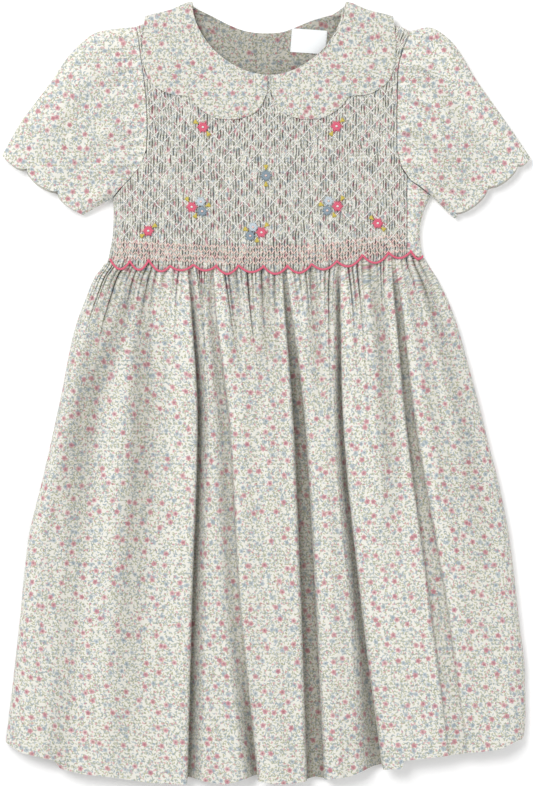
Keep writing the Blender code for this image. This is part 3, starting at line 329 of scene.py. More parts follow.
class Shell:
    """Points and faces of one piece, with the place of each point in its cut cloth."""

    def __init__(self) -> None:
        """Start with no points."""
        self.points: list[tuple[float, float, float]] = []
        self.cloth: list[tuple[float, float, float]] = []
        self.faces: list[tuple[int, ...]] = []

    def grid(self, points: Array, cloth: Array, flip: bool = False) -> Array:
        """Add a grid of points with faces between them.

        Args:
            points: Rows by columns by 3; a point that is not a number is left out.
            cloth: Place of each point in the cloth, and how much painted shade it carries.
            flip: Whether the faces look the other way.

        Returns:
            The index of each point, or -1.
        """
        rows, columns = points.shape[:2]
        kept = ~np.isnan(points[..., 0])
        index = np.full((rows, columns), -1, dtype=int)
        index[kept] = len(self.points) + np.arange(int(kept.sum()))
        self.points.extend(map(tuple, points[kept]))
        self.cloth.extend(map(tuple, cloth[kept]))
        a, b, c, d = index[:-1, :-1], index[:-1, 1:], index[1:, 1:], index[1:, :-1]
        quads = np.stack([a, d, c, b] if flip else [a, b, c, d], axis=-1).reshape(-1, 4)
        self.faces.extend(map(tuple, quads[(quads >= 0).all(axis=1)]))
        return index

    def rim(self, outer: Sequence[int], inner: Sequence[int]) -> None:
        """Close an edge between two runs of points, whatever their counts."""
        reached = []
        for run in (outer, inner):
            places = np.array([self.points[i][:2] for i in run])
            steps = np.linalg.norm(np.diff(places, axis=0), axis=1)
            total = np.concatenate([[0.0], np.cumsum(steps)])
            reached.append(total / max(total[-1], 1e-9))
        i = j = 0
        while i < len(outer) - 1 or j < len(inner) - 1:
            next_outer = reached[0][i + 1] if i < len(outer) - 1 else 2.0
            next_inner = reached[1][j + 1] if j < len(inner) - 1 else 2.0
            if next_outer <= next_inner:
                self.faces.append((outer[i], outer[i + 1], inner[j]))
                i += 1
            else:
                self.faces.append((outer[i], inner[j + 1], inner[j]))
                j += 1

    def make(self, name: str, finish: bpy.types.Material, thickness: float = 0.0,
             tube: bool = False) -> bpy.types.Object:
        """Make the piece.

        Args:
            name: The piece's name.
            finish: Its material.
            thickness: Wall added on the inside of an open surface, or 0 for a closed one.
            tube: Whether the surface's first and last points meet, and are merged.

        Returns:
            The object, smooth shaded, with its place in its mesh.
        """
        mesh = bpy.data.meshes.new(name)
        mesh.from_pydata([tuple(map(float, p)) for p in self.points], [],
                         [tuple(map(int, f)) for f in self.faces])
        mesh.materials.append(finish)
        places = mesh.attributes.new("cloth", "FLOAT_VECTOR", "POINT")
        places.data.foreach_set("vector", np.asarray(self.cloth, dtype=np.float32).ravel())
        piece = bpy.data.objects.new(name, mesh)
        bpy.context.collection.objects.link(piece)
        if tube:
            merge_points(mesh)
        if thickness > 0.0:
            wall = piece.modifiers.new("wall", "SOLIDIFY")
            wall.thickness = thickness
            wall.offset = -1.0
            bake_modifiers(piece)
        else:
            turn_outwards(piece.data)
        piece.data.shade_smooth()
        piece.data.set_sharp_from_angle(angle=math.radians(62.0))
        return piece


def turn_outwards(mesh: bpy.types.Mesh) -> None:
    """Turn a closed mesh's faces outwards."""
    shape = bmesh.new()
    shape.from_mesh(mesh)
    bmesh.ops.recalc_face_normals(shape, faces=shape.faces)
    shape.to_mesh(mesh)
    shape.free()


def bake_modifiers(piece: bpy.types.Object) -> None:
    """Turn a piece's modifiers into a plain mesh."""
    graph = bpy.context.evaluated_depsgraph_get()
    made = bpy.data.meshes.new_from_object(piece.evaluated_get(graph))
    piece.modifiers.clear()
    old = piece.data
    piece.data = made
    bpy.data.meshes.remove(old)


class Board:
    """A material's nodes, added one at a time."""

    def __init__(self, name: str) -> None:
        """Start a material with its Principled shader."""
        self.material = bpy.data.materials.new(name)
        self.material.use_nodes = True
        self.tree = self.material.node_tree
        self.shader = self.tree.nodes["Principled BSDF"]

    def node(self, kind: str, **settings: object) -> bpy.types.Node:
        """Add a node and set its properties."""
        made = self.tree.nodes.new(kind)
        for key, value in settings.items():
            setattr(made, key, value)
        return made

    def feed(self, socket: bpy.types.NodeSocket, value: object) -> None:
        """Link a socket to an output, or set its own value."""
        if isinstance(value, bpy.types.NodeSocket):
            self.tree.links.new(value, socket)
        else:
            socket.default_value = value

    def math(self, operation: str, a: object, b: object = 0.0) -> bpy.types.NodeSocket:
        """Add a math node."""
        made = self.node("ShaderNodeMath", operation=operation)
        self.feed(made.inputs[0], a)
        self.feed(made.inputs[1], b)
        return made.outputs[0]

    def vector(self, operation: str, a: object, b: object,
               c: object = (0.0, 0.0, 0.0)) -> bpy.types.NodeSocket:
        """Add a vector math node."""
        made = self.node("ShaderNodeVectorMath", operation=operation)
        self.feed(made.inputs[0], a)
        self.feed(made.inputs[1], b)
        if operation == "MULTIPLY_ADD":
            self.feed(made.inputs[2], c)
        return made.outputs["Value"] if operation == "LENGTH" else made.outputs["Vector"]

    def step(self, value: object, edge: float, soft: float) -> bpy.types.NodeSocket:
        """Mask that is 1 below an edge and 0 above it."""
        made = self.node("ShaderNodeMapRange", interpolation_type="SMOOTHSTEP")
        self.feed(made.inputs["Value"], value)
        made.inputs["From Min"].default_value = edge + soft
        made.inputs["From Max"].default_value = edge - soft
        return made.outputs["Result"]

    def mix(self, share: object, under: object, over: object, blend: str = "MIX") -> bpy.types.NodeSocket:
        """Mix two colours."""
        made = self.node("ShaderNodeMix", data_type="RGBA", blend_type=blend)
        self.feed(made.inputs["Factor"], share)
        self.feed(made.inputs[6], under)
        self.feed(made.inputs[7], over)
        return made.outputs[2]

    def cloth_place(self) -> bpy.types.NodeSocket:
        """Place in the cut cloth, in metres."""
        return self.node("ShaderNodeAttribute", attribute_name="cloth").outputs["Vector"]

    def finish(self, colour: object, roughness: float, sheen: float = 0.0) -> bpy.types.Material:
        """Set the shader's colour, roughness and sheen.

        Args:
            colour: A colour, or the node output that gives it.
            roughness: The same all over the surface.
            sheen: Weight of the cloth's soft edge light.

        Returns:
            The material.
        """
        self.feed(self.shader.inputs["Base Color"], colour)
        self.shader.inputs["Roughness"].default_value = roughness
        self.shader.inputs["Specular IOR Level"].default_value = 0.25
        if sheen > 0.0:
            self.shader.inputs["Sheen Weight"].default_value = sheen
            self.shader.inputs["Sheen Roughness"].default_value = 0.6
        return self.material


class Motif(Enum):
    """What one layer of the print repeats."""

    LEAF = "leaf"
    BLOOM = "bloom"


@dataclass(frozen=True)
class PrintLayer:
    """One layer of the small floral print: its cell, and the motif's size, shape and tints."""

    motif: Motif
    cell: float
    size: float
    slender: float
    tint: Colour
    other_tint: Colour
    kept: float
    shift: tuple[float, float]
    strength: float = 1.0


@dataclass(frozen=True)
class FloralCotton:
    """Cotton lawn printed with fine leaves, sprigs and small blooms on off-white."""

    name: str = "printed_cotton"
    ground: Colour = (0.80, 0.785, 0.715)
    # Painted shade: the colour and strength that darken the print in folds, slits and creases.
    painted_shade_colour: Colour = (0.40, 0.385, 0.35)
    pleat_shade: float = 0.80
    petals: int = 5
    bend: float = 1.6
    slub_scale: float = 900.0
    crumple_scale: float = 140.0
    layers: tuple[PrintLayer, ...] = (
        PrintLayer(Motif.LEAF, 0.0031, 0.52, 2.9, (0.33, 0.40, 0.44),
                   (0.48, 0.54, 0.56), 0.72, (3.1, 7.7), 0.86),
        PrintLayer(Motif.LEAF, 0.0029, 0.52, 2.9, (0.37, 0.38, 0.20),
                   (0.48, 0.49, 0.33), 0.74, (11.4, 2.3), 0.84),
        PrintLayer(Motif.LEAF, 0.0038, 0.46, 3.0, (0.26, 0.33, 0.38),
                   (0.42, 0.47, 0.46), 0.52, (5.8, 15.2), 0.84),
        PrintLayer(Motif.LEAF, 0.0028, 0.44, 2.4, (0.30, 0.31, 0.20),
                   (0.44, 0.46, 0.40), 0.46, (17.2, 8.8), 0.78),
        PrintLayer(Motif.BLOOM, 0.0092, 0.200, 1.0, (0.33, 0.41, 0.48),
                   (0.45, 0.52, 0.57), 0.44, (8.2, 9.9), 0.74),
        PrintLayer(Motif.LEAF, 0.0056, 0.20, 1.7, (0.58, 0.22, 0.26),
                   (0.64, 0.36, 0.38), 0.46, (13.7, 6.1), 0.74),
        PrintLayer(Motif.LEAF, 0.0046, 0.20, 2.2, (0.46, 0.14, 0.19),
                   (0.58, 0.32, 0.34), 0.34, (2.7, 12.9), 0.74),
        PrintLayer(Motif.BLOOM, 0.0114, 0.180, 1.0, (0.56, 0.20, 0.25),
                   (0.66, 0.36, 0.39), 0.62, (6.6, 1.2), 0.82),
    )

    def layer_mask(self, board: Board, layer: PrintLayer) -> tuple[object, object]:
        """Mask of one layer, and its mixed tint."""
        repeat = (1.0 / layer.cell, 1.0 / layer.cell, 0.0)
        place = board.vector("MULTIPLY_ADD", board.cloth_place(), repeat, (*layer.shift, 0.0))
        cells = board.node("ShaderNodeTexVoronoi", voronoi_dimensions="2D", feature="F1")
        board.feed(cells.inputs["Vector"], place)
        cells.inputs["Scale"].default_value = 1.0
        cells.inputs["Randomness"].default_value = 1.0
        local = board.vector("SUBTRACT", place, cells.outputs["Position"])
        chance = board.node("ShaderNodeSeparateColor")
        board.feed(chance.inputs[0], cells.outputs["Color"])
        turned = board.node("ShaderNodeVectorRotate", rotation_type="Z_AXIS")
        board.feed(turned.inputs["Vector"], local)
        board.feed(turned.inputs["Angle"], board.math("MULTIPLY", chance.outputs[0], math.tau))
        axes = board.node("ShaderNodeSeparateXYZ")
        board.feed(axes.inputs[0], turned.outputs[0])
        x, y = axes.outputs[0], axes.outputs[1]
        if layer.motif is Motif.BLOOM:
            mask, middle = self.bloom(board, x, y, layer.size)
            inner = tuple(c * 0.62 for c in layer.tint)
        else:
            mask, middle = self.leaf(board, x, y, layer.size, layer.slender), 0.0
            inner = layer.tint
        kept = board.step(chance.outputs[1], layer.kept, 0.001)
        mask = board.math("MULTIPLY", board.math("MULTIPLY", mask, kept), layer.strength)
        tint = board.mix(chance.outputs[2], (*layer.tint, 1.0), (*layer.other_tint, 1.0))
        return mask, board.mix(middle, tint, (*inner, 1.0))

    def bloom(self, board: Board, x: object, y: object, size: float) -> tuple[object, object]:
        """Round flower with soft petals, and its darker middle."""
        angle = board.math("MULTIPLY", board.math("ARCTAN2", y, x), float(self.petals))
        lobes = board.math("ADD", board.math("MULTIPLY", board.math("COSINE", angle), 0.13), 1.0)
        reach = board.math("SQRT", board.math("ADD", board.math("MULTIPLY", x, x), board.math("MULTIPLY", y, y)))
        return board.step(board.math("DIVIDE", reach, lobes), size, 0.05), board.step(reach, 0.42 * size, 0.05)

    def leaf(self, board: Board, x: object, y: object, size: float, slender: float) -> object:
        """Small curved leaf, longer than it is wide."""
        curved = board.math("SUBTRACT", y, board.math("MULTIPLY", board.math("MULTIPLY", x, x), self.bend))
        across = board.math("MULTIPLY", curved, slender)
        reach = board.math("SQRT", board.math("ADD", board.math("MULTIPLY", x, x),
                                              board.math("MULTIPLY", across, across)))
        return board.step(reach, size, 0.09)

    def make(self) -> bpy.types.Material:
        """Build the printed cotton.

        Returns:
            The material, with its print, painted shade in deep folds and soft unevenness.
        """
        board = Board(self.name)
        place = board.cloth_place()
        mottle = board.node("ShaderNodeTexNoise")
        board.feed(mottle.inputs["Vector"], place)
        mottle.inputs["Scale"].default_value = 60.0
        colour: object = board.mix(board.math("MULTIPLY", mottle.outputs[0], 0.25), (*self.ground, 1.0),
                                   (*[c * 0.86 for c in self.ground], 1.0))
        for layer in self.layers:
            mask, tint = self.layer_mask(board, layer)
            colour = board.mix(mask, colour, tint)
        # Painted shade: the third value of the cloth attribute darkens the print towards the painted shade
        # colour; a negative value turns it towards a slightly paler plain ground.
        if self.pleat_shade > 0.0:
            axes = board.node("ShaderNodeSeparateXYZ")
            board.feed(axes.inputs[0], place)
            deep = board.math("MULTIPLY", axes.outputs[2], self.pleat_shade)
            colour = board.mix(deep, colour, board.mix(1.0, colour, (*self.painted_shade_colour, 1.0), "MULTIPLY"))
            turned = board.math("MULTIPLY", axes.outputs[2], -1.0)
            colour = board.mix(turned, colour, (*[c * 1.02 for c in self.ground], 1.0))
        self.crumple_bump(board, place)
        return board.finish(colour, 0.86, 0.12)

    def crumple_bump(self, board: Board, place: object) -> None:
        """The cloth's slubs and slight unevenness, as bump."""
        heights = []
        for scale, height in ((self.slub_scale, 0.00006), (self.crumple_scale, 0.0010)):
            noise = board.node("ShaderNodeTexNoise")
            board.feed(noise.inputs["Vector"], place)
            noise.inputs["Scale"].default_value = scale
            heights.append(board.math("MULTIPLY", noise.outputs[0], height))
        bump = board.node("ShaderNodeBump")
        bump.inputs["Strength"].default_value = 0.5
        bump.inputs["Distance"].default_value = 1.0
        board.feed(bump.inputs["Height"], board.math("ADD", *heights))
        board.feed(board.shader.inputs["Normal"], bump.outputs[0])


@dataclass(frozen=True)
class ThreadFinish:
    """Stranded cotton thread of one colour."""

    name: str
    colour: Colour
    twist: float = 0.0009

    def make(self) -> bpy.types.Material:
        """Build the thread, with painted shade between its twisted strands."""
        board = Board(self.name)
        place = board.node("ShaderNodeTexCoord").outputs["Object"]
        strands = board.node("ShaderNodeTexWave", bands_direction="DIAGONAL")
        board.feed(strands.inputs["Vector"], place)
        strands.inputs["Scale"].default_value = 0.05 * math.tau / self.twist
        strands.inputs["Distortion"].default_value = 1.5
        # Painted shade in the grooves between the twisted strands.
        dark = tuple(c * 0.72 for c in self.colour)
        colour = board.mix(board.math("MULTIPLY", strands.outputs["Fac"], 0.6), (*self.colour, 1.0), (*dark, 1.0))
        bump = board.node("ShaderNodeBump")
        bump.inputs["Strength"].default_value = 0.4
        bump.inputs["Distance"].default_value = 0.0002
        board.feed(bump.inputs["Height"], strands.outputs["Fac"])
        board.feed(board.shader.inputs["Normal"], bump.outputs[0])
        return board.finish(colour, 0.55, 0.2)


@dataclass(frozen=True)
class PlainFinish:
    """A plain finish with a slight mottle: label tape, buttons and floor."""

    name: str
    colour: Colour
    roughness: float
    grain: float

    def make(self) -> bpy.types.Material:
        """Build the finish."""
        board = Board(self.name)
        place = board.node("ShaderNodeTexCoord").outputs["Object"]
        mottle = board.node("ShaderNodeTexNoise")
        board.feed(mottle.inputs["Vector"], place)
        mottle.inputs["Scale"].default_value = 1.0 / self.grain
        dark = tuple(c * 0.93 for c in self.colour)
        colour = board.mix(board.math("MULTIPLY", mottle.outputs[0], 0.5), (*self.colour, 1.0), (*dark, 1.0))
        bump = board.node("ShaderNodeBump")
        bump.inputs["Strength"].default_value = 0.15
        bump.inputs["Distance"].default_value = 0.0003
        board.feed(bump.inputs["Height"], mottle.outputs[0])
        board.feed(board.shader.inputs["Normal"], bump.outputs[0])
        return board.finish(colour, self.roughness)


class Finishes:
    """Every finish of the dress, made once."""

    def __init__(self) -> None:
        """Make the finishes."""
        self.cotton = FloralCotton().make()
        # Smocked cotton: near-black painted shade in the slits between the pleats.
        self.smocked = FloralCotton("smocked_cotton", painted_shade_colour=(0.10, 0.10, 0.095), pleat_shade=0.96).make()
        self.white = ThreadFinish("white_thread", (0.84, 0.83, 0.79)).make()
        self.blush = ThreadFinish("blush_thread", (0.90, 0.66, 0.59)).make()
        self.rose = ThreadFinish("rose_thread", (0.74, 0.13, 0.21)).make()
        self.slate = ThreadFinish("slate_thread", (0.26, 0.34, 0.40)).make()
        self.sky = ThreadFinish("sky_thread", (0.56, 0.64, 0.69)).make()
        self.mustard = ThreadFinish("mustard_thread", (0.62, 0.50, 0.09)).make()
        self.label = PlainFinish("label_tape", (0.86, 0.88, 0.89), 0.6, 0.0012).make()
        self.pearl = PlainFinish("pearl_button", (0.78, 0.76, 0.72), 0.28, 0.0040).make()


class Stitch(NamedTuple):
    """One straight stitch: its middle, the way it runs, its length and thickness."""

    middle: tuple[float, float, float]
    way: tuple[float, float, float]
    length: float
    thickness: float


class Stitcher:
    """Lays stitches as small spun shapes on points, with Geometry Nodes."""

    def __init__(self) -> None:
        """Build the tree once."""
        tree = bpy.data.node_groups.new("lay_stitches", "GeometryNodeTree")
        tree.interface.new_socket(name="Points", in_out="INPUT", socket_type="NodeSocketGeometry")
        segments = tree.interface.new_socket(name="Sides", in_out="INPUT", socket_type="NodeSocketInt")
        rings = tree.interface.new_socket(name="Rings", in_out="INPUT", socket_type="NodeSocketInt")
        finish = tree.interface.new_socket(name="Thread", in_out="INPUT", socket_type="NodeSocketMaterial")
        tree.interface.new_socket(name="Stitches", in_out="OUTPUT", socket_type="NodeSocketGeometry")
        self.sides_id, self.rings_id, self.thread_id = segments.identifier, rings.identifier, finish.identifier
        given, result = tree.nodes.new("NodeGroupInput"), tree.nodes.new("NodeGroupOutput")
        bead = tree.nodes.new("GeometryNodeMeshUVSphere")
        bead.inputs["Radius"].default_value = 0.5
        link = tree.links.new
        link(given.outputs["Sides"], bead.inputs["Segments"])
        link(given.outputs["Rings"], bead.inputs["Rings"])
        upright = tree.nodes.new("GeometryNodeTransform")
        upright.inputs["Rotation"].default_value = (0.0, 0.5 * math.pi, 0.0)
        link(bead.outputs["Mesh"], upright.inputs["Geometry"])
        turn = tree.nodes.new("FunctionNodeAlignRotationToVector")
        turn.axis = "X"
        link(self.field(tree, "way", "FLOAT_VECTOR"), turn.inputs["Vector"])
        size = tree.nodes.new("ShaderNodeCombineXYZ")
        link(self.field(tree, "length", "FLOAT"), size.inputs[0])
        link(self.field(tree, "thickness", "FLOAT"), size.inputs[1])
        link(self.field(tree, "thickness", "FLOAT"), size.inputs[2])
        laid = tree.nodes.new("GeometryNodeInstanceOnPoints")
        link(given.outputs["Points"], laid.inputs["Points"])
        link(upright.outputs[0], laid.inputs["Instance"])
        link(turn.outputs[0], laid.inputs["Rotation"])
        link(size.outputs[0], laid.inputs["Scale"])
        smooth = tree.nodes.new("GeometryNodeSetShadeSmooth")
        realize = tree.nodes.new("GeometryNodeRealizeInstances")
        dress = tree.nodes.new("GeometryNodeSetMaterial")
        link(laid.outputs[0], realize.inputs[0])
        link(realize.outputs[0], smooth.inputs[0])
        link(smooth.outputs[0], dress.inputs[0])
        link(given.outputs["Thread"], dress.inputs["Material"])
        link(dress.outputs[0], result.inputs[0])
        self.tree = tree

    @staticmethod
    def field(tree: bpy.types.NodeTree, name: str, kind: str) -> bpy.types.NodeSocket:
        """Output that reads a named attribute of the points."""
        made = tree.nodes.new("GeometryNodeInputNamedAttribute")
        made.data_type = kind
        made.inputs["Name"].default_value = name
        return made.outputs["Attribute"]

    def lay(self, name: str, stitches: Sequence[Stitch], finish: bpy.types.Material,
            sides: int = 6, rings: int = 4) -> bpy.types.Object:
        """Lay stitches as one piece.

        Args:
            name: The piece's name.
            stitches: The stitches to lay.
            finish: Their thread.
            sides: Sides round a stitch.
            rings: Rings along a stitch.

        Returns:
            The piece, as a plain mesh.
        """
        mesh = bpy.data.meshes.new(name)
        mesh.from_pydata([s.middle for s in stitches], [], [])
        way = mesh.attributes.new("way", "FLOAT_VECTOR", "POINT")
        way.data.foreach_set("vector", np.array([s.way for s in stitches], dtype=np.float32).ravel())
        for key in ("length", "thickness"):
            values = mesh.attributes.new(key, "FLOAT", "POINT")
            values.data.foreach_set("value", np.array([getattr(s, key) for s in stitches], dtype=np.float32))
        piece = bpy.data.objects.new(name, mesh)
        bpy.context.collection.objects.link(piece)
        layer = piece.modifiers.new("stitches", "NODES")
        layer.node_group = self.tree
        layer[self.sides_id] = sides
        layer[self.rings_id] = rings
        layer[self.thread_id] = finish
        bake_modifiers(piece)
        return piece


@dataclass
class SmockedFront:
    """Smocked front: fine pleats, trellis stitches and embroidery."""

    form: BodyForm
    pleats_left: int = 13
    pleats_chest: int = 92
    pleats_right: int = 4
    section: tuple[float, ...] = (0.0, 0.13, 0.30, 0.50, 0.70, 0.87)
    section_height: tuple[float, ...] = (0.0, 0.58, 0.92, 1.0, 0.92, 0.58)
    slit_depth: float = 0.0007
    puff: float = 0.0004
    diamond_width: float = 0.0126
    diamond_height: float = 0.0140
    trellis_foot: float = 0.1262
    cloth_per_pleat: float = 0.0056
    band_top: float = 0.0200
    low_rows: int = 46
    high_rows: int = 52

    def columns(self) -> tuple[Array, Array, Array, Array, Array]:
        """Foot, head, share across the chest, pleat number and place in the pleat of each column."""
        form = self.form
        feet = (form.left_foot, form.chest_sides[0].left, form.chest_sides[0].right, form.right_seam)
        heads = (form.left_armhole[0].x, form.left_armhole[-1].x, form.right_armhole[0].x, form.right_seam)
        foot, head, across, pleat, within = [], [], [], [], []
        number = 0
        for block, count in enumerate((self.pleats_left, self.pleats_chest, self.pleats_right)):
            for i in range(count):
                for place in self.section:
                    share = (i + place) / count
                    foot.append(lerp(feet[block], feet[block + 1], share))
                    head.append(lerp(heads[block], heads[block + 1], share))
                    across.append(share if block == 1 else math.nan)
                    pleat.append(number)
                    within.append(place)
                number += 1
        first_right = (self.pleats_left + self.pleats_chest) * len(self.section)
        across[first_right] = 1.0
        foot.append(feet[-1])
        head.append(heads[-1])
        across.append(math.nan)
        pleat.append(number)
        within.append(0.0)
        return tuple(np.array(v) for v in (foot, head, across, pleat, within))

    def base(self) -> tuple[Array, Array]:
        """Places of every row and column, seen from above."""
        form = self.form
        foot, head, across, _, _ = self.columns()
        share = np.linspace(0.0, 1.0, self.low_rows)[:, None]
        share = share - 0.35 * share * (1.0 - share)
        waist = form.waist(foot) + form.seam_gap
        y = lerp(waist[None, :], form.armhole_top(head)[None, :], share)
        x = lerp(foot[None, :], head[None, :], share)
        wing = np.clip((form.chest_sides[0].left - foot) / (form.chest_sides[0].left - form.left_foot), 0.0, 1.0)
        straight = lerp(form.left_foot, form.left_armhole[0].x, share)
        x = x + wing * (form.side(form.body_sides, "left", y) - straight)
        up = np.linspace(0.0, 1.0, self.high_rows + 1)[1:, None]
        safe = np.nan_to_num(across, nan=0.5)
        high_x, high_y = form.chest_place(np.broadcast_to(safe, (len(up), len(safe))).copy(), up)
        outside = np.isnan(across)
        high_x[:, outside] = math.nan
        high_y[:, outside] = math.nan
        return np.vstack([x, high_x]), np.vstack([y, high_y])

    def near_line(self, x: Array, y: Array) -> Array:
        """How close a place is to a line of the trellis: 1 on the line."""
        total = np.zeros_like(x)
        for way in (1.0, -1.0):
            turn = x / self.diamond_width + way * y / self.diamond_height
            off = np.abs(turn - np.round(turn)) * self.diamond_width
            total = np.maximum(total, np.exp(-((off / 0.0013) ** 2)))
        return np.where(y < self.trellis_foot, 0.0, total)

    def surface(self, x: Array, y: Array, height: Array, depth: Array) -> Array:
        """Height of the smocked face at places with a pleat height and slit depth share."""
        form = self.form
        side = ease((x - form.side(form.body_sides, "left", y)) / form.side_roll)
        shoulder = ease((form.height(form.shoulders, x) - y) / form.shoulder_roll)
        level = form.front_level(x, y)
        a = x / self.diamond_width + y / self.diamond_height
        b = x / self.diamond_width - y / self.diamond_height
        bulge = np.abs(np.sin(math.pi * a) * np.sin(math.pi * b)) - 0.5
        rise = form.pleat_rise * height + self.puff * (bulge - 0.5) * height - self.slit_depth * depth
        return level + rise * side * np.clip(shoulder, 0.25, 1.0)

    def make(self, finish: bpy.types.Material) -> bpy.types.Object:
        """Build the smocked front."""
        form = self.form
        x, y = self.base()
        _, _, _, pleat, within = self.columns()
        height = np.interp(within, [*self.section, 1.0], [*self.section_height, 0.0])
        rows, count = x.shape
        open_slit = uneven(11, rows, int(pleat[-1]) + 2, 1.7, 0.7)
        lean = uneven(12, rows, int(pleat[-1]) + 2, 2.8, 2.2)
        number = pleat.astype(int)
        nearest_slit = np.where(within > 0.5, number + 1, number)
        line = self.near_line(x, y)
        slit = np.clip(0.52 + 1.15 * open_slit[:, nearest_slit], 0.0, 1.0) * (1.0 - 0.85 * line)
        depth = (1.0 - height)[None, :] * slit
        lift = 1.0 - (1.0 - height)[None, :] * (0.45 + 0.55 * slit)
        edge = np.ones(rows)
        edge[0] = edge[-1] = 0.0
        sway = 0.00060 * lean[:, nearest_slit] * edge[:, None]
        inside = ~np.isnan(x)
        border = inside & np.roll(inside, 1, axis=1) & np.roll(inside, -1, axis=1)
        border[:, 0] = border[:, -1] = False
        x = np.where(border, x + sway, x)
        z = self.surface(x, y, lift * edge[:, None], depth * edge[:, None])
        points = np.stack([x, y, z], axis=-1)
        # Painted shade: the slits between the pleats darken, less on the trellis lines, varied at random from
        # pleat to pleat and a little more across the band above the waist.
        band = ease((self.band_top - (y - form.waist(x))) / 0.004)
        painted_shade_level = uneven(13, rows, int(pleat[-1]) + 2, 3.1, 0.8)[:, number]
        shade = 0.02 + 0.10 * painted_shade_level + 1.0 * depth + 0.04 * band
        shade = np.where(border, np.clip(shade, 0.0, 1.0) * edge[:, None], 0.1)
        cloth = np.stack([np.broadcast_to((pleat + within) * self.cloth_per_pleat, x.shape), y, shade], axis=-1)
        shell = Shell()
        outer = shell.grid(points, cloth)
        inner_columns = self.inner_columns(count)
        inner = shell.grid(self.inner(x[:, inner_columns], y[:, inner_columns]), cloth[:, inner_columns], True)
        for run, back in zip(self.runs(outer), self.runs(inner)):
            if len(run) > 1:
                shell.rim(run, back)
        return shell.make("smocked_front", finish)

    def inner_columns(self, count: int) -> Array:
        """Columns that the plain inside keeps."""
        step = len(self.section)
        return np.unique(np.concatenate([np.arange(0, count, step), [count - 1]]))

    def inner(self, x: Array, y: Array) -> Array:
        """Plain inside, one wall's thickness in from the level between the pleats."""
        form = self.form
        from_side = np.clip((x - form.side(form.body_sides, "left", y)) / form.side_roll, 0.0, 1.0)
        from_top = np.clip((form.height(form.shoulders, x) - y) / form.shoulder_roll, 0.0, 1.0)
        normal = np.stack([-(1.0 - from_side) / form.side_roll, (1.0 - from_top) / form.shoulder_roll,
                           np.full_like(x, 1.0 / 0.006) * np.sqrt(from_side * (2.0 - from_side)) + 12.0], axis=-1)
        normal /= np.linalg.norm(normal, axis=-1, keepdims=True)
        return np.stack([x, y, form.front_level(x, y)], axis=-1) - normal * (form.wall * 0.95)

    def runs(self, index: Array) -> list[list[int]]:
        """The runs of the panel's edge: waist, sides, armholes and top."""
        low = self.low_rows
        chest = np.nonzero(index[-1] >= 0)[0]
        first, last = int(chest[0]), int(chest[-1])
        picked = (index[0], index[:low, 0], index[low - 1, :first + 1], index[low - 1:, first],
                  index[-1, first:last + 1], index[low - 1:, last], index[low - 1, last:], index[:low, -1])
        return [[int(i) for i in run] for run in picked]

    def crest(self, x: float, y: float, lift: float = 0.0) -> float:
        """Height of the pleats' crests at one place."""
        place = (np.array([x]), np.array([y]))
        return float(self.surface(*place, np.array([1.0]), np.array([0.0]))[0]) + lift

    def covers(self, x: float, y: float, margin: float = 0.0012) -> bool:
        """Whether a place lies on the smocked front, inside a margin."""
        form = self.form
        foot = float(form.waist(x)) + margin
        if y < foot:
            return False
        top = float(form.front_top(np.array([x]))[0]) - margin
        if y >= form.left_armhole[-1].y:
            left, right = form.side(form.chest_sides, "left", y), form.side(form.chest_sides, "right", y)
            return bool(left + margin < x < right - margin and y < top)
        if x > form.right_seam - margin or x < float(form.side(form.body_sides, "left", y)) + 0.004:
            return False
        return bool(y < float(form.armhole_top(np.array([x]))[0]) - margin)

    def trellis(self, stitcher: Stitcher, finish: bpy.types.Material) -> bpy.types.Object:
        """White trellis: short stitches from crest to crest along crossing diagonals."""
        rng = np.random.RandomState(21)
        pitch = (self.form.right_armhole[0].x - self.form.left_armhole[-1].x) / self.pleats_chest
        slope = self.diamond_height / self.diamond_width
        stitches = []
        for way in (1.0, -1.0):
            for line in range(-32, 33):
                for step in range(-62, 62):
                    x = step * pitch + rng.uniform(-0.0002, 0.0002)
                    y = way * slope * (x - line * self.diamond_width) + rng.uniform(-0.0004, 0.0004)
                    if y < self.trellis_foot or not self.covers(x, y):
                        continue
                    lean = slope * rng.uniform(0.75, 1.2)
                    length = pitch * math.hypot(1.0, lean) * rng.uniform(0.95, 1.25)
                    stitches.append(Stitch((x, y, self.crest(x, y, 0.0002)), (1.0, way * lean, 0.0), length,
                                           rng.uniform(0.00095, 0.00130)))
        return stitcher.lay("trellis_stitches", stitches, finish)

    def waves(self, stitcher: Stitcher, finish: bpy.types.Material) -> bpy.types.Object:
        """Rows of small blush zigzag stitches above the waist."""
        rng = np.random.RandomState(22)
        pitch = (self.form.right_armhole[0].x - self.form.left_armhole[-1].x) / self.pleats_chest
        stitches = []
        for row in range(4):
            for step in range(-58, 54):
                x = (step + 0.5) * pitch
                way = 1.0 if (step + row) % 2 == 0 else -1.0
                foot = float(self.form.height(self.form.waist_seam, x)) - 0.0010
                y = foot + 0.0062 + 0.0043 * row + rng.uniform(-0.0004, 0.0004)
                if not self.covers(x, y):
                    continue
                stitches.append(Stitch((x, y, self.crest(x, y, 0.0001)), (1.0, way * 1.45, 0.0),
                                       pitch * 1.75 * rng.uniform(0.85, 1.1), rng.uniform(0.00085, 0.00115)))
        return stitcher.lay("wave_stitches", stitches, finish)


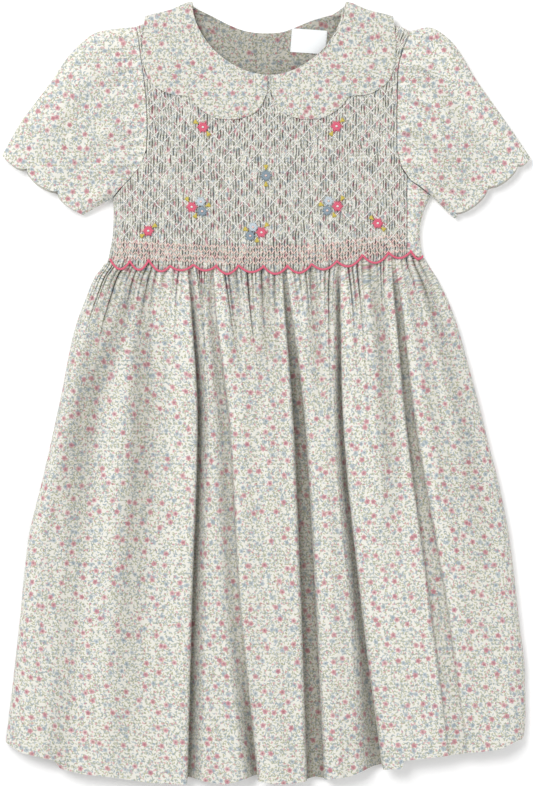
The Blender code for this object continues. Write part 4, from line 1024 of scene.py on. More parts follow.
@dataclass
class WaistCord:
    """Thick rose stem-stitch cord in scallops along the waist."""

    form: BodyForm
    front: SmockedFront
    stitch_step: float = 0.00125
    stitch_length: float = 0.0030
    thickness: float = 0.0017

    def level(self, x: float, y: float) -> float:
        """Height that the cord lies at: on the pleats above the seam and the gathers below it."""
        side = float(roll(np.array([min(x + 0.1352, 0.1352 - x)]), 0.0120)[0])
        return lerp(self.form.side_seam_height, 0.0126, side) + 0.0004

    def make(self, stitcher: Stitcher, finish: bpy.types.Material) -> bpy.types.Object:
        """Build the cord from slanted, overlapping stitches."""
        route = self.form.scallops[1:-1]
        steps = np.linalg.norm(np.diff(route, axis=0), axis=1)
        reached = np.concatenate([[0.0], np.cumsum(steps)])
        stitches = []
        for place in np.arange(0.0, reached[-1], self.stitch_step):
            x, y = (float(np.interp(place, reached, route[:, axis])) for axis in (0, 1))
            after = [float(np.interp(place + 0.0012, reached, route[:, axis])) for axis in (0, 1)]
            way = Vector((after[0] - x, after[1] - y, 0.0)).normalized()
            turned = Vector((way.x - 0.42 * way.y, way.y + 0.42 * way.x, 0.0)).normalized()
            stitches.append(Stitch((x, y, self.level(x, y)), tuple(turned), self.stitch_length, self.thickness))
        return stitcher.lay("waist_cord", stitches, finish, sides=8, rings=5)


class Bloom(NamedTuple):
    """One embroidered flower: its place, thread and radius."""

    x: float
    y: float
    thread: str
    radius: float


class Leaf(NamedTuple):
    """A pair of leaf stitches beside a flower."""

    x: float
    y: float
    turn: float


@dataclass
class Embroidery:
    """Small flowers and leaves embroidered on the smocking."""

    front: SmockedFront
    petal_stitches: int = 18
    blooms: tuple[Bloom, ...] = (
        Bloom(-0.0535, 0.2240, "rose", 0.0052), Bloom(0.0593, 0.2247, "rose", 0.0052),
        Bloom(-0.0996, 0.1365, "rose", 0.0050), Bloom(0.0941, 0.1429, "rose", 0.0050),
        Bloom(-0.0003, 0.1831, "slate", 0.0052),
        Bloom(-0.0629, 0.1566, "rose", 0.0050), Bloom(-0.0553, 0.1611, "sky", 0.0046),
        Bloom(-0.0541, 0.1530, "slate", 0.0046),
        Bloom(0.0602, 0.1572, "rose", 0.0050), Bloom(0.0526, 0.1617, "sky", 0.0046),
        Bloom(0.0514, 0.1536, "slate", 0.0046),
        Bloom(-0.0041, 0.1352, "rose", 0.0050), Bloom(-0.0112, 0.1396, "sky", 0.0046),
        Bloom(-0.0136, 0.1322, "slate", 0.0046),
    )
    leaves: tuple[Leaf, ...] = (
        Leaf(-0.0585, 0.2276, 150.0), Leaf(-0.0496, 0.2193, -60.0), Leaf(0.0632, 0.2290, 40.0),
        Leaf(0.0556, 0.2195, -120.0), Leaf(-0.0952, 0.1402, 30.0), Leaf(-0.1038, 0.1330, 205.0),
        Leaf(0.0980, 0.1388, -40.0), Leaf(0.0897, 0.1466, 140.0), Leaf(-0.0003, 0.1893, 90.0),
        Leaf(-0.0003, 0.1768, 270.0), Leaf(-0.0662, 0.1622, 120.0), Leaf(-0.0594, 0.1502, 250.0),
        Leaf(-0.0500, 0.1577, 20.0), Leaf(0.0636, 0.1630, 60.0), Leaf(0.0568, 0.1508, 290.0),
        Leaf(0.0473, 0.1583, 160.0), Leaf(-0.0005, 0.1405, 50.0), Leaf(-0.0078, 0.1297, 270.0),
        Leaf(-0.0165, 0.1372, 150.0),
    )

    def bloom_stitches(self, bloom: Bloom) -> list[Stitch]:
        """Radial stitches of one flower, gathered into petals."""
        petals = 8 if bloom.thread == "slate" else 6
        made = []
        for i in range(self.petal_stitches):
            angle = math.tau * (i + 0.15) / self.petal_stitches
            reach = bloom.radius * (0.86 + 0.14 * math.cos(petals * angle))
            middle = 0.62 * reach
            x, y = bloom.x + middle * math.cos(angle), bloom.y + middle * math.sin(angle)
            made.append(Stitch((x, y, self.front.crest(x, y, 0.0009)), (math.cos(angle), math.sin(angle), 0.0),
                               reach * 0.95, 0.0014))
        return made

    def make(self, stitcher: Stitcher, finishes: Finishes) -> list[bpy.types.Object]:
        """Build the flowers, their centres and leaves, one piece for each thread.

        Args:
            stitcher: Lays the stitches.
            finishes: The threads.

        Returns:
            The pieces.
        """
        threads = {"rose": finishes.rose, "slate": finishes.slate, "sky": finishes.sky}
        made = []
        for name, finish in threads.items():
            stitches = [s for bloom in self.blooms if bloom.thread == name for s in self.bloom_stitches(bloom)]
            made.append(stitcher.lay(f"{name}_petals", stitches, finish))
        for name, kinds, finish in (("white_knots", ("rose",), finishes.white),
                                    ("blush_knots", ("slate", "sky"), finishes.blush)):
            knots = [Stitch((b.x, b.y, self.front.crest(b.x, b.y, 0.0015)), (1.0, 0.0, 0.0), 0.0022, 0.0020)
                     for b in self.blooms if b.thread in kinds]
            made.append(stitcher.lay(name, knots, finish, sides=10, rings=7))
        leaves = []
        for leaf in self.leaves:
            for spread in (-34.0, -12.0, 12.0, 34.0):
                angle = math.radians(leaf.turn + spread)
                x, y = leaf.x + 0.0010 * math.cos(angle), leaf.y + 0.0010 * math.sin(angle)
                way = (math.cos(angle), math.sin(angle), 0.0)
                leaves.append(Stitch((x, y, self.front.crest(x, y, 0.0008)), way, 0.0050, 0.0014))
        made.append(stitcher.lay("mustard_leaves", leaves, finishes.mustard))
        return made


LEVELS = (0.1065, 0.0779, -0.0232, -0.1747, -0.3229)
KNIFE = (
    SectionPoint(-1.00, 0.00, 0.00), SectionPoint(-0.40, 0.60, 0.00), SectionPoint(-0.08, 1.00, 0.08),
    SectionPoint(0.02, 1.05, 0.32), SectionPoint(0.08, -0.10, 0.66), SectionPoint(0.16, -0.70, 0.92),
    SectionPoint(0.38, -0.30, 1.00), SectionPoint(0.62, 0.00, 0.80), SectionPoint(0.85, 0.00, 0.46),
    SectionPoint(1.08, 0.00, 0.18), SectionPoint(1.30, 0.00, 0.00),
)
VALLEY = (
    SectionPoint(-1.00, 0.00, 0.00), SectionPoint(-0.70, 0.60, 0.05), SectionPoint(-0.56, 1.00, 0.32),
    SectionPoint(-0.50, -0.50, 0.78), SectionPoint(-0.24, 0.00, 1.00), SectionPoint(0.24, 0.00, 1.00),
    SectionPoint(0.50, 0.50, 0.78), SectionPoint(0.56, -1.00, 0.32), SectionPoint(0.70, -0.60, 0.05),
    SectionPoint(1.00, 0.00, 0.00),
)
NO_LAP = (0.0, 0.0, 0.0, 0.0, 0.0)


@dataclass
class SkirtFront:
    """Gathered skirt front: fine gathers, large folds and soft creases."""

    form: BodyForm
    crest_height: float = 0.0200
    edge_roll: float = 0.0220
    roll_growth: float = 0.25
    crest_growth: float = 0.0650
    hem_sink: float = 0.0015
    hem_sink_from: float = 0.2500
    hem_sink_reach: float = 0.1800
    # Drop depths that give full painted shade in the soft creases and in the large folds.
    crease_shade_depth: float = 0.0078
    fold_shade_depth: float = 0.0135
    gather_rise: float = 0.0017
    gather_sink: float = 0.0018
    gather_lengths: tuple[float, float] = (0.0220, 0.0670)
    broad_length: float = 2.4
    broad_sink: float = 0.0012
    crumple_height: float = 0.00035
    gather_columns: int = 7
    section_steps: int = 4
    rows: int = 84
    wall: float = 0.0009
    sides: tuple[Side, ...] = (
        Side(-0.3300, -0.2225, 0.2135), Side(-0.3000, -0.2210, 0.2170), Side(-0.2758, -0.2183, 0.2196),
        Side(-0.2353, -0.2132, 0.2190), Side(-0.1949, -0.2090, 0.2145), Side(-0.1242, -0.2015, 0.2061),
        Side(-0.0838, -0.1922, 0.1985), Side(-0.0434, -0.1821, 0.1884), Side(-0.0029, -0.1737, 0.1783),
        Side(0.0375, -0.1661, 0.1673), Side(0.0577, -0.1610, 0.1615), Side(0.0779, -0.1535, 0.1539),
        Side(0.0981, -0.1450, 0.1438), Side(0.1060, -0.1390, 0.1385), Side(0.1140, -0.1345, 0.1340),
    )
    hem: tuple[Place, ...] = (
        Place(-0.2230, -0.2950), Place(-0.2073, -0.3035), Place(-0.1790, -0.3105), Place(-0.1740, -0.3170),
        Place(-0.1568, -0.3212), Place(-0.1232, -0.3254), Place(-0.0979, -0.3288), Place(-0.0702, -0.3305),
        Place(-0.0700, -0.3242), Place(-0.0558, -0.3271), Place(-0.0347, -0.3305), Place(-0.0221, -0.3271),
        Place(-0.0038, -0.3221), Place(-0.0036, -0.3280), Place(0.0116, -0.3305), Place(0.0284, -0.3288),
        Place(0.0410, -0.3250), Place(0.0520, -0.3262), Place(0.0705, -0.3238), Place(0.0874, -0.3170),
        Place(0.1024, -0.3128), Place(0.1026, -0.3179), Place(0.1185, -0.3170), Place(0.1190, -0.3103),
        Place(0.1547, -0.3061), Place(0.1968, -0.3010), Place(0.2180, -0.2890),
    )
    folds: tuple[Fold, ...] = (
        Fold("left knife", "left_over", (-0.0667, -0.0655, -0.0617, -0.0663, -0.0701),
             (0.0030, 0.0075, 0.0125, 0.0120, 0.0120), (0.0030, 0.0060, 0.0100, 0.0120, 0.0130),
             (0.0000, 0.0015, 0.0035, 0.0035, 0.0035)),
        Fold("middle", "right_over", (-0.0448, -0.0432, -0.0309, -0.0213, -0.0037),
             (0.0025, 0.0050, 0.0075, 0.0070, 0.0115), (0.0030, 0.0060, 0.0110, 0.0130, 0.0120),
             (0.0000, 0.0000, 0.0000, 0.0005, 0.0035)),
        Fold("deep valley", "valley", (0.0150, 0.0176, 0.0276, 0.0355, 0.0415),
             (0.0030, 0.0080, 0.0135, 0.0135, 0.0125), (0.0030, 0.0060, 0.0115, 0.0140, 0.0155),
             (0.0000, 0.0010, 0.0018, 0.0018, 0.0015)),
        Fold("right knife", "right_over", (0.0630, 0.0642, 0.0680, 0.0831, 0.1025),
             (0.0030, 0.0070, 0.0110, 0.0120, 0.0130), (0.0030, 0.0055, 0.0085, 0.0110, 0.0200),
             (0.0000, 0.0015, 0.0030, 0.0032, 0.0035)),
        Fold("narrow valley", "valley", (0.1076, 0.1110, 0.1215, 0.1446, 0.1640),
             (0.0028, 0.0080, 0.0095, 0.0055, 0.0025), (0.0028, 0.0060, 0.0085, 0.0130, 0.0150),
             (0.0000, 0.0008, 0.0010, 0.0000, 0.0000)),
    )
    gathers: tuple[int, ...] = (17, 5, 11, 9, 9, 6)
    creases: tuple[Fold, ...] = (
        Fold("outer left", "soft", (-0.1240, -0.1330, -0.1640, -0.1850, -0.1900),
             (0.0015, 0.0028, 0.0028, 0.0010, 0.0000), (0.0045, 0.0060, 0.0090, 0.0090, 0.0090), NO_LAP),
        Fold("left drag", "soft", (-0.1128, -0.1173, -0.1517, -0.1652, -0.1764),
             (0.0018, 0.0042, 0.0052, 0.0022, 0.0020), (0.0040, 0.0062, 0.0100, 0.0090, 0.0080), NO_LAP),
        Fold("left valley", "soft", (-0.1004, -0.1029, -0.1046, -0.1139, -0.1215),
             (0.0018, 0.0038, 0.0050, 0.0032, 0.0010), (0.0040, 0.0062, 0.0095, 0.0120, 0.0120), NO_LAP),
        Fold("short left", "soft", (-0.0272, -0.0260, -0.0250, -0.0240, -0.0240),
             (0.0025, 0.0030, 0.0000, 0.0000, 0.0000), (0.0030, 0.0045, 0.0060, 0.0060, 0.0060), NO_LAP),
        Fold("short middle", "soft", (-0.0027, -0.0011, 0.0010, 0.0020, 0.0020),
             (0.0025, 0.0038, 0.0000, 0.0000, 0.0000), (0.0030, 0.0045, 0.0060, 0.0060, 0.0060), NO_LAP),
        Fold("short right", "soft", (0.0377, 0.0402, 0.0460, 0.0480, 0.0480),
             (0.0025, 0.0040, 0.0006, 0.0000, 0.0000), (0.0030, 0.0045, 0.0060, 0.0060, 0.0060), NO_LAP),
        Fold("thin right", "soft", (0.0898, 0.0941, 0.1025, 0.1060, 0.1100),
             (0.0020, 0.0042, 0.0035, 0.0000, 0.0000), (0.0035, 0.0048, 0.0060, 0.0060, 0.0060), NO_LAP),
        Fold("right drag", "soft", (0.1310, 0.1399, 0.1680, 0.1850, 0.1960),
             (0.0018, 0.0040, 0.0035, 0.0012, 0.0000), (0.0045, 0.0065, 0.0095, 0.0110, 0.0110), NO_LAP),
    )
    fine_creases: tuple[Fold, ...] = (
        Fold("fine 1", "soft", (-0.0850, -0.0870, -0.0900, -0.0930, -0.0960),
             (0.0010, 0.0012, 0.0010, 0.0006, 0.0004), (0.0020, 0.0030, 0.0070, 0.0090, 0.0100), NO_LAP),
        Fold("fine 2", "soft", (-0.0560, -0.0545, -0.0500, -0.0440, -0.0420),
             (0.0010, 0.0016, 0.0008, 0.0006, 0.0006), (0.0018, 0.0026, 0.0050, 0.0070, 0.0070), NO_LAP),
        Fold("fine 3", "soft", (0.0060, 0.0068, 0.0090, 0.0120, 0.0180),
             (0.0012, 0.0014, 0.0010, 0.0007, 0.0008), (0.0018, 0.0026, 0.0060, 0.0080, 0.0090), NO_LAP),
        Fold("fine 4", "soft", (0.0500, 0.0520, 0.0560, 0.0640, 0.0700),
             (0.0012, 0.0015, 0.0012, 0.0010, 0.0012), (0.0018, 0.0026, 0.0055, 0.0070, 0.0080), NO_LAP),
        Fold("fine 5", "soft", (0.1180, 0.1240, 0.1440, 0.1700, 0.1760),
             (0.0012, 0.0022, 0.0020, 0.0008, 0.0006), (0.0022, 0.0034, 0.0060, 0.0090, 0.0100), NO_LAP),
        Fold("fine 6", "soft", (-0.0150, -0.0150, -0.0120, -0.0100, -0.0160),
             (0.0010, 0.0014, 0.0012, 0.0010, 0.0012), (0.0018, 0.0028, 0.0070, 0.0090, 0.0080), NO_LAP),
    )

    def value(self, values: tuple[float, ...], y: Array) -> Array:
        """Value of a fold's column at height y."""
        return Curve(LEVELS, values).at(y)

    def soft_drop(self, x: Array, y: Array) -> Array:
        """Depth of all soft creases at places."""
        total = np.zeros_like(x)
        for fold in (*self.creases, *self.fine_creases):
            offset = (x - self.value(fold.x, y)) / self.value(fold.reach, y)
            total += self.value(fold.depth, y) * np.exp(-offset * offset)
        return total

    def smooth_section(self, points: tuple[SectionPoint, ...]) -> list[SectionPoint]:
        """A fold's section with more points, on smooth runs."""
        keys = list(range(len(points)))
        finer = np.linspace(0, len(points) - 1, (len(points) - 1) * self.section_steps + 1)
        parts = [Curve(keys, [getattr(p, part) for p in points]).at(finer) for part in ("across", "lap", "drop")]
        return [SectionPoint(*map(float, values)) for values in zip(*parts)]

    def fold_end(self, fold: Fold, side: float, y: Array) -> Array:
        """Where a fold ends on one side: its soft side runs on beyond its reach."""
        soft_side = {"left_over": 1.0, "right_over": -1.0, "valley": 0.0}[fold.kind]
        run = KNIFE[-1].across if side == soft_side else 1.0
        return self.value(fold.x, y) + side * run * self.value(fold.reach, y)

    def block_edges(self, block: int, y: Array) -> tuple[Array, Array]:
        """Where one block of gathers starts and ends at height y."""
        start = self.form.side(self.sides, "left", y)
        end = self.form.side(self.sides, "right", y)
        if block > 0:
            start = self.fold_end(self.folds[block - 1], 1.0, y)
        if block < len(self.folds):
            end = self.fold_end(self.folds[block], -1.0, y)
        return start, end

    def places(self) -> list[tuple[Callable[[Array], Array], Fold | None, SectionPoint | None, float, int]]:
        """Columns from left to right: place at a height, fold, section point, gather phase and number."""
        rng = np.random.RandomState(30)
        made = [(lambda y: self.form.side(self.sides, "left", y), None, None, 0.0, 0)]
        number = 0
        for block, count in enumerate(self.gathers):
            widths = 0.5 + rng.uniform(0.0, 1.0, count)
            starts = np.concatenate([[0.0], np.cumsum(widths)]) / widths.sum()
            for i in range(1, count * self.gather_columns):
                gather, phase = divmod(i, self.gather_columns)
                phase = phase / self.gather_columns
                share = lerp(starts[gather], starts[gather + 1], phase)
                if block == 0:
                    share = lerp(share, share * share, 0.45)
                if block == len(self.gathers) - 1:
                    share = lerp(share, 1.0 - (1.0 - share) ** 2, 0.45)

                def place(y: Array, block: int = block, share: float = share) -> Array:
                    start, end = self.block_edges(block, y)
                    return lerp(start, end, share)

                made.append((place, None, None, phase, number + gather))
            number += count
            if block < len(self.folds):
                made.extend(self.fold_places(self.folds[block]))
        made.append((lambda y: self.form.side(self.sides, "right", y), None, None, 0.0, number))
        return made

    def fold_places(self, fold: Fold) -> list:
        """Columns of one large fold."""
        points = self.smooth_section(VALLEY if fold.kind == "valley" else KNIFE)
        if fold.kind == "right_over":
            points = [SectionPoint(-p.across, -p.lap, p.drop) for p in reversed(points)]
        made = []
        for point in points:
            def place(y: Array, across: float = point.across) -> Array:
                return self.value(fold.x, y) + self.value(fold.reach, y) * across

            made.append((place, fold, point, 0.0, 0))
        return made

    def column(self, item: tuple, share: Array, odds: Array) -> tuple[Array, Array]:
        """Points of one column of the skirt, and their height without gathers, height and painted shade."""
        place_at, fold, point, phase, number = item
        form = self.form
        waist_x = float(place_at(np.array([form.waist_seam[3].y]))[0])
        hem_x = float(place_at(np.array([LEVELS[-1]]))[0])
        waist_y = float(form.waist(waist_x)) - form.seam_gap
        hem_y = float(np.interp(hem_x, [p.x for p in self.hem], [p.y for p in self.hem]))
        y = lerp(waist_y, hem_y, share)
        place = place_at(y)
        edge = np.minimum(place - form.side(self.sides, "left", y), form.side(self.sides, "right", y) - place)
        reach = lerp(form.side_roll, self.edge_roll, ease(share / self.roll_growth))
        below = form.waist_seam[3].y - y
        crest = lerp(form.bodice_height, self.crest_height, ease(below / self.crest_growth))
        top = crest - self.hem_sink * ease((below - self.hem_sink_from) / self.hem_sink_reach)
        near_side = ease(edge / reach)
        level = lerp(form.side_seam_height, top, roll(edge, reach))
        drop = self.soft_drop(place, y) * near_side
        # Painted shade in the soft creases and, below, in the large folds and between the gathers.
        shade = np.clip(drop / self.crease_shade_depth, 0.0, 0.7)
        x = place.copy()
        plain = level - drop
        if fold is not None and point is not None:
            x = x + self.value(fold.lap, y) * point.lap
            deep = self.value(fold.depth, y) * point.drop
            drop = drop + deep
            plain = level - drop
            shade = shade + np.clip(deep / self.fold_shade_depth, 0.0, 1.0)
        else:
            wave = math.sin(math.pi * (phase % 1.0)) ** 0.6
            odd = float(odds[number])
            length = lerp(*self.gather_lengths, odd)
            fade = 1.0 - ease((waist_y - y) / length)
            broad = 1.0 - ease((waist_y - y) / (self.broad_length * length))
            strength = 0.35 + 0.9 * odd * odd
            rise = self.gather_rise * (0.75 + 0.4 * odd) * wave * fade
            rise = rise - (1.0 - wave) * strength * (self.gather_sink * fade + self.broad_sink * broad)
            drop = drop - rise * near_side
            # Painted shade between the gathers below the waist.
            shade = shade + (1.0 - wave) * strength * (0.65 * fade + 0.22 * broad)
        return np.stack([x, y, level - drop], axis=-1), np.stack([plain, y, np.clip(shade, 0.0, 1.0)], axis=-1)

    def make(self, finish: bpy.types.Material) -> bpy.types.Object:
        """Build the skirt front."""
        share = np.linspace(0.0, 1.0, self.rows)
        share = 0.45 * share + 0.55 * share ** 2.2
        odds = np.random.RandomState(31).uniform(0.0, 1.0, sum(self.gathers) + 1)
        columns = [self.column(item, share, odds) for item in self.places()]
        points = np.stack([c[0] for c in columns], axis=1)
        cloth = np.stack([c[1] for c in columns], axis=1)
        count = points.shape[1]
        crumple = uneven(32, self.rows, count, 5.0, 9.0) + uneven(33, self.rows, count, 12.0, 26.0)
        side = ease(np.minimum(points[..., 0] - points[:, :1, 0], points[:, -1:, 0] - points[..., 0]) / 0.03)
        fade = ease(share / 0.10)[:, None]
        points[..., 2] += (crumple - 0.6) * self.crumple_height * side * fade
        steps = np.hypot(np.diff(points[..., 0], axis=1), np.diff(cloth[..., 0], axis=1))
        reached = np.concatenate([np.zeros((self.rows, 1)), np.cumsum(steps, axis=1)], axis=1)
        middle = points.shape[1] // 2
        cloth[..., 0] = reached - reached[:, middle:middle + 1]
        shell = Shell()
        shell.grid(points, cloth, flip=True)
        return shell.make("gathered_skirt_front", finish, self.wall)


@dataclass
class Sleeve:
    """Short puffed sleeve with a gathered head and a scalloped hem."""

    form: BodyForm
    side: int
    fold_edge: tuple[Place, ...]
    tip: Place
    notches: tuple[float, ...]
    edge_height: float = 0.0050
    puff_height: float = 0.0150
    hem_height: float = 0.0105
    front_roll: float = 0.0140
    back_roll: float = 0.0060
    back_shift: float = 0.0370
    back_peep: float = 0.0013
    scallop_depth: float = 0.0050
    gathers: int = 17
    front_columns: int = 170
    back_columns: int = 60
    rows: int = 44
    wall: float = 0.0009

    def armhole(self) -> Array:
        """Armhole edge from the shoulder to the armpit."""
        form, side = self.form, self.side
        share = np.linspace(1.0, 0.0, 40)
        across = np.full_like(share, 0.0 if side < 0 else 1.0)
        x, y = form.chest_place(across, share)
        chest = list(zip(x + side * form.armhole_gap, y))[:-1]
        lower = list(reversed(form.left_armhole)) if side < 0 else list(form.right_armhole)
        return np.array(chest + [(p.x + side * form.armhole_gap, p.y + form.armhole_gap) for p in lower])

    def along(self, route: Array, share: Array, smooth: bool) -> Array:
        """Points at shares of a route's length."""
        reached = np.concatenate([[0.0], np.cumsum(np.linalg.norm(np.diff(route, axis=0), axis=1))])
        at = share * reached[-1]
        if smooth:
            return np.stack([Curve(reached, route[:, k]).at(at) for k in (0, 1)], axis=-1)
        return np.stack([np.interp(at, reached, route[:, k]) for k in (0, 1)], axis=-1)

    def hem(self, t: Array, back: bool) -> Array:
        """Points of the scalloped hem between the folded edge's tip and the underarm's tip."""
        fold_tip, tip = self.fold_edge[-1], self.tip
        stops = [0.0, *self.notches, 1.0]
        stops_array = np.array(stops)
        lobe = np.clip(np.searchsorted(stops_array, t, side="right") - 1, 0, len(stops) - 2)
        width = stops_array[lobe + 1] - stops_array[lobe]
        within = (t - stops_array[lobe]) / width
        round_part = np.maximum(0.0, np.sin(math.pi * within)) ** 0.45
        inside = np.minimum(1.0, np.minimum(t / stops[1], (1.0 - t) / max(1.0 - stops[-2], 0.05)))
        reach = self.scallop_depth * np.minimum(1.0, width / 0.3)
        bulge = lerp(-0.9 * reach * inside, 0.35 * reach, round_part)
        bulge = np.where((t <= 0.0) | (t >= 1.0), 0.0, bulge) + (self.back_peep if back else 0.0) * inside
        across = Vector((tip.x - fold_tip.x, tip.y - fold_tip.y)).normalized()
        outward = (across.y, -across.x) if -across.x < 0.0 else (-across.y, across.x)
        return np.stack([lerp(fold_tip.x, tip.x, t) + outward[0] * bulge,
                         lerp(fold_tip.y, tip.y, t) + outward[1] * bulge], axis=-1)

    def layer(self, t: Array, s: Array, back: bool) -> tuple[Array, Array]:
        """Points of the front or back layer at shares t across and s along.

        Args:
            t: Shares from the folded edge to the underarm seam.
            s: Shares from the armhole to the hem.
            back: Whether this is the layer that rests on the surface.

        Returns:
            The points, and their places in the cloth.
        """
        route = self.armhole()
        fold_route = np.array([tuple(route[0]), *self.fold_edge])
        start = self.along(route, t, False)[None, :, :]
        end = self.hem(t, back)[None, :, :]
        fold = self.along(fold_route, s, True)[:, None, :]
        tip = np.array(self.tip)
        under = lerp(route[-1][None, None, :], tip[None, None, :], s[:, None, None])
        tt, ss = t[None, :, None], s[:, None, None]
        ends = self.hem(np.array([0.0, 1.0]), back)
        corners = (1 - ss) * ((1 - tt) * route[0] + tt * route[-1]) + ss * ((1 - tt) * ends[0] + tt * ends[1])
        place = (1 - ss) * start + ss * end + (1 - tt) * fold + tt * under - corners
        width = np.linalg.norm(fold - under, axis=-1)
        edge = np.minimum(t, 1.0 - t)[None, :] * width
        s_grid = np.broadcast_to(s[:, None], edge.shape)
        t_grid = np.broadcast_to(t[None, :], edge.shape)
        if back:
            z = lerp(self.edge_height, 0.0, roll(edge, self.back_roll))
        else:
            crest = lerp(lerp(self.form.bodice_height, self.puff_height, ease(s_grid / 0.35)), self.hem_height,
                         ease((s_grid - 0.45) / 0.55))
            z = lerp(self.edge_height, crest, roll(edge, self.front_roll)) + self.relief(s_grid, t_grid, edge)
        cloth = np.stack([place[..., 0], place[..., 1], np.zeros_like(z)], axis=-1)
        if back:
            cloth[..., 0] += self.back_shift
            cloth[..., 2] = -0.75 * ease((s_grid - 0.90) / 0.05)
        else:
            # Painted shade in the front layer's soft folds and between the head's gathers.
            cloth[..., 2] = np.clip(-self.relief(s_grid, t_grid, edge) / 0.0040, 0.0, 0.4)
        return np.concatenate([place, z[..., None]], axis=-1), cloth

    def relief(self, s: Array, t: Array, edge: Array) -> Array:
        """Gathers of the sleeve head and the soft folds that fall from them."""
        wave = np.sin(math.pi * ((t * self.gathers) % 1.0)) ** 0.8
        number = np.floor(t * self.gathers)
        length = 0.30 + 0.12 * np.sin(2.1 * number + 0.6 * self.side)
        gather = 0.0013 * (wave - 0.45) * (1.0 - ease(s / length)) * ease((0.93 - t) / 0.1)
        folds = np.zeros_like(s)
        for centre, lean, depth, reach in ((0.24, 0.10, 0.0008, 0.060), (0.42, 0.03, 0.0006, 0.045),
                                           (0.60, -0.04, 0.0009, 0.055), (0.78, -0.06, 0.0007, 0.050)):
            offset = (t - centre - lean * s) / reach
            folds -= depth * np.exp(-offset * offset) * ease(s / 0.15) * ease((1.15 - s) / 0.6)
        return (gather + folds) * ease(edge / 0.012)

    def make(self, name: str, finish: bpy.types.Material) -> bpy.types.Object:
        """Build the sleeve as one open tube with a wall."""
        even = np.linspace(0.0, 1.0, self.front_columns)
        front_t = 0.5 * even + 0.5 * (0.5 - 0.5 * np.cos(math.pi * even))
        even_back = np.linspace(1.0, 0.0, self.back_columns)
        back_t = 0.5 - 0.5 * np.cos(math.pi * even_back)
        s = np.linspace(0.0, 1.0, self.rows)
        front, front_cloth = self.layer(front_t, s, False)
        back, back_cloth = self.layer(back_t[1:], s, True)
        back[:, -1] = front[:, 0]
        points = np.concatenate([front, back], axis=1)
        cloth = np.concatenate([front_cloth, back_cloth], axis=1)
        shell = Shell()
        shell.grid(points, cloth, flip=self.side < 0)
        return shell.make(name, finish, self.wall, tube=True)


def merge_points(mesh: bpy.types.Mesh, distance: float = 1e-6) -> None:
    """Merge a mesh's points that lie on each other."""
    shape = bmesh.new()
    shape.from_mesh(mesh)
    bmesh.ops.remove_doubles(shape, verts=shape.verts, dist=distance)
    shape.to_mesh(mesh)
    shape.free()


